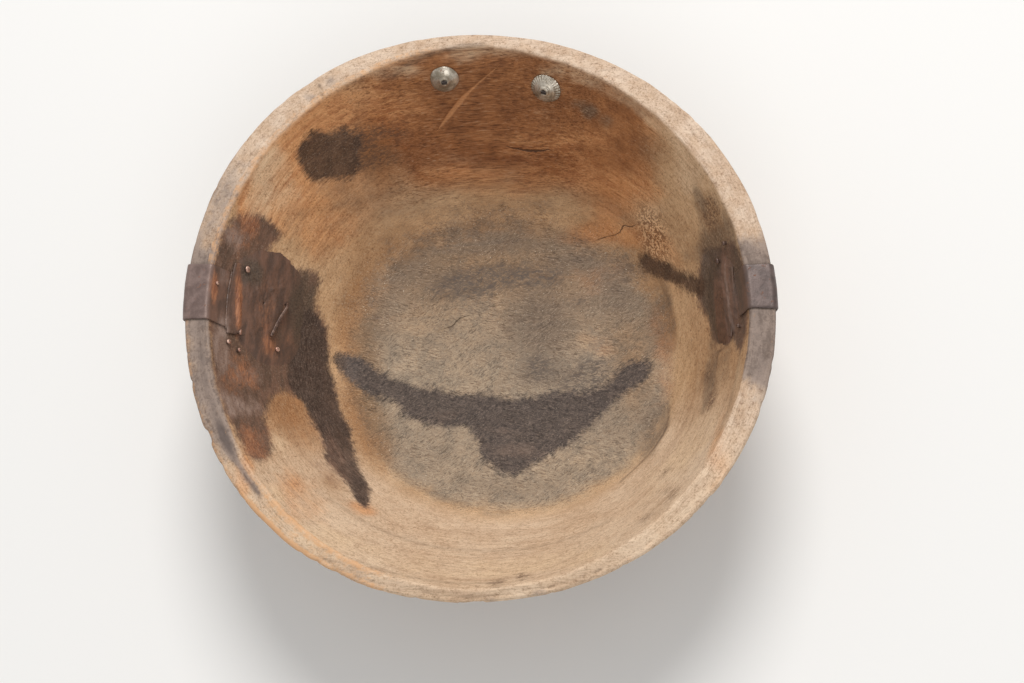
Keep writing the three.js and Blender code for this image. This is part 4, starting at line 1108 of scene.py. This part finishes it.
# Each nail's depth, aside, how far it stands out, its burr and the way that it leans
LEFT_NAILS = [(30.8, -26.3, 4.6, 2.2, (0.3, -0.2)), (30.2, 20.6, 4.6, 1.9, (-0.6, -1.4)),
              (21.5, 30.7, 2.6, 1.7, (0.3, 0.3)), (31, 34, 3.0, 1.3, (0.2, 0.1)),
              (69.8, 21.6, 3.6, 1.8, (0.3, 0.5))]
RIGHT_NAILS = [(35.2, 30.4, 4.4, 2.1, (0.2, 0.2)), (20.4, 38.5, 2.8, 1.6, (0.2, 0.0)),
               (19.8, -21.3, 2.8, 1.6, (0.0, 0.2))]
nail("nail_strap", "left_strap_nail", LEFT, 7, -8, 3.0, 1.3, (0.2, 0.0), 1)
for number, sizes in enumerate(LEFT_NAILS, 1):
    nail(f"nail_left_{number}", f"left_patch_nail_{number}", LEFT, *sizes, number + 1)
for number, sizes in enumerate(RIGHT_NAILS, 1):
    nail(f"nail_right_{number}", f"right_patch_nail_{number}", RIGHT, *sizes, number + 6)
clinched("nail_clinched", "left_clinched_nail", 73.5, -14.6, 61, 14.1)

# Rosettes: radius and height of the crown from the flange in, with and without steps
STEPPED = [(7.6, 2.15), (7.3, 2.65), (6.9, 2.8), (5.6, 3.15), (5.3, 3.55), (4.9, 3.65), (4.2, 3.7),
           (3.9, 3.9), (3.6, 4.6), (3.0, 5.0), (2.2, 5.1), (1.7, 4.9), (1.2, 4.5)]
DOMED = [(7.4, 1.95), (6.2, 2.5), (5.0, 3.1), (4.2, 3.55), (3.7, 4.0), (3.2, 4.5), (2.6, 4.75), (2.0, 4.8),
         (1.5, 4.6), (1.2, 4.2)]


def rosette(name, node, angle, depth, radius, crown, flutes, facets, seed):
    at = LIP_AT - depth
    origin, axes = frame_at(at, math.radians(angle))
    rest = SEAT + radius ** 2 / (2 * radius_at(at))
    flange, thickness = radius - 1.8, 0.9
    profile = [(1.2, 4.5 - thickness), (2.2, 4.2 - thickness), (3.0, 2.9), (flange - thickness, 1.0),
               (flange, 0.05), (radius - 0.2, 0), (radius, 0.25), (radius - 0.05, 0.5),
               (radius - 0.5, 0.75), (flange + 0.6, 1.2), (flange, 1.6), *crown]
    turns = np.linspace(0, 2 * math.pi, facets, endpoint=False)
    dent = 1 + 0.012 * np.sin(3 * turns + seed) + 0.008 * np.sin(5 * turns + 2 * seed)
    points = []
    for r, z in profile:
        depth_of = 0.28 * np.clip((r - 7.2) / 1.2, 0, 1) if r > 7.4 and z > 0.2 else 0.0
        groove = depth_of * (1 - np.cos(flutes * turns))
        ring = (r - groove * 0.6) * dent
        points.append(np.stack([ring * np.cos(turns), ring * np.sin(turns), z - groove * 0.8 + rest], -1))
    # the ring after the last is the first again
    quads, _ = tube(len(profile) + 1, facets)
    faces = (np.array(quads) % (len(profile) * facets)).tolist()
    piece(name, local(origin, axes, np.concatenate(points)), faces, "bowl", "silvered_metal", SILVER, [node])


rosette("washer_left", "left_rosette", 97.5, 22, 10, DOMED, 0, 120, 1)
rosette("washer_right", "right_rosette", 73.5, 25.5, 11, STEPPED, 30, 240, 2)

# Split pins keep the model's shape, with softened edges
for node_name in ("left_split_pin", "right_split_pin"):
    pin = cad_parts[node_name]
    pin.data.materials.clear()
    pin.data.materials.append(FORGED_IRON)
    soften = pin.modifiers.new("soften", "BEVEL")
    soften.width = 0.25 * METRES
    soften.segments = 2
    soften.limit_method = "ANGLE"

# Drop handle, hung in the two eyes
EYES = np.array([[-24.600, 192.875, 99.319], [54.612, 181.359, 96.728]])
END_PAST, STRAIGHT, SHOULDER, DROP, FULL_SIDE, BASE = 6, 5.5, 5.5, 43, 32, 0.6
along = unit(EYES[1] - EYES[0])
down = unit(np.array([0, 0, -1.0]) + along * along[2])
half = np.linalg.norm(EYES[1] - EYES[0]) / 2
turn_at = half + STRAIGHT
side = turn_at + SHOULDER
tip = np.linspace(half - END_PAST - 2.6, turn_at, 14)
t = np.linspace(0, 1, 30)[:, None]
belly = ((1 - t) ** 3 * np.array([side, SHOULDER]) + 3 * t * (1 - t) ** 2 * np.array([side, FULL_SIDE])
         + 3 * t * t * (1 - t) * np.array([side * BASE, DROP]) + t ** 3 * np.array([0, DROP]))
half_run = np.concatenate([np.stack([tip, tip * 0], -1)[:-1],
                           bend((turn_at, 0), (side, 0), (side, SHOULDER), 9)[:-1], belly])
run = np.concatenate([half_run * [-1, 1], half_run[::-1][1:]])
path = EYES.mean(0) + run[:, :1] * along + run[:, 1:] * down
from_end = np.minimum(np.arange(len(run)), np.arange(len(run))[::-1])
radii = np.interp(from_end, [0, 1, 2, 4, 5, 6, 8, 40], [1.2, 2.4, 2.95, 2.95, 2.6, 2.4, 2.35, 2.45])
radii *= 1 + 0.025 * roughly(path, 7, 41, 2)
bar = swept(path, radii, 20, lambda turns, step: 1 + 0.02 * np.cos(4 * turns))
piece("handle_bail", *bar, "handle", "forged_iron", FORGED_IRON, ["bail_handle"])

# Rust that has run into the wood round the nail heads and the pins
rusted = np.zeros(AT.shape)
for spot in [*rusting, *EYES]:
    off = carved - spot
    off[..., 2] *= np.where(off[..., 2] < 0, 0.45, 1.0)
    rusted = np.maximum(rusted, 0.95 * np.exp(-(np.linalg.norm(off, axis=-1) / 9.0) ** 2))
paint("rusted", rusted * (AT > ARRIS_END))

# Floor, lights and world
floor_mesh = bpy.data.meshes.new("floor")
floor_mesh.from_pydata([(-6, -6, 0), (6, -6, 0), (6, 6, 0), (-6, 6, 0)], [], [(0, 1, 2, 3)])
floor_mesh.materials.append(Look("floor", (238, 237, 235)).finish(0.9, specular=0.1))
floor = bpy.data.objects.new("floor", floor_mesh)
floor.location.z = -0.3 * METRES
bpy.context.collection.objects.link(floor)


def lamp(name, place_at, size, watts, tint):
    data = bpy.data.lights.new(name, "AREA")
    data.shape = "DISK"
    data.size = size
    data.energy = watts
    data.color = tint
    made = bpy.data.objects.new(name, data)
    made.location = place_at
    made.rotation_euler = (Vector((0, 0, 0.06)) - Vector(place_at)).to_track_quat("-Z", "Y").to_euler()
    bpy.context.collection.objects.link(made)


lamp("key", (0.3, 1.9, 2.7), 1.5, 72, (1.0, 0.985, 0.965))
lamp("fill", (0.4, -1.6, 2.0), 1.6, 13, (0.97, 0.985, 1.0))
world = bpy.data.worlds.new("world")
world.use_nodes = True
world.node_tree.nodes["Background"].inputs["Color"].default_value = (1.0, 1.0, 1.0, 1.0)
world.node_tree.nodes["Background"].inputs["Strength"].default_value = 0.47
bpy.context.scene.world = world
bpy.context.scene.view_settings.view_transform = "Standard"
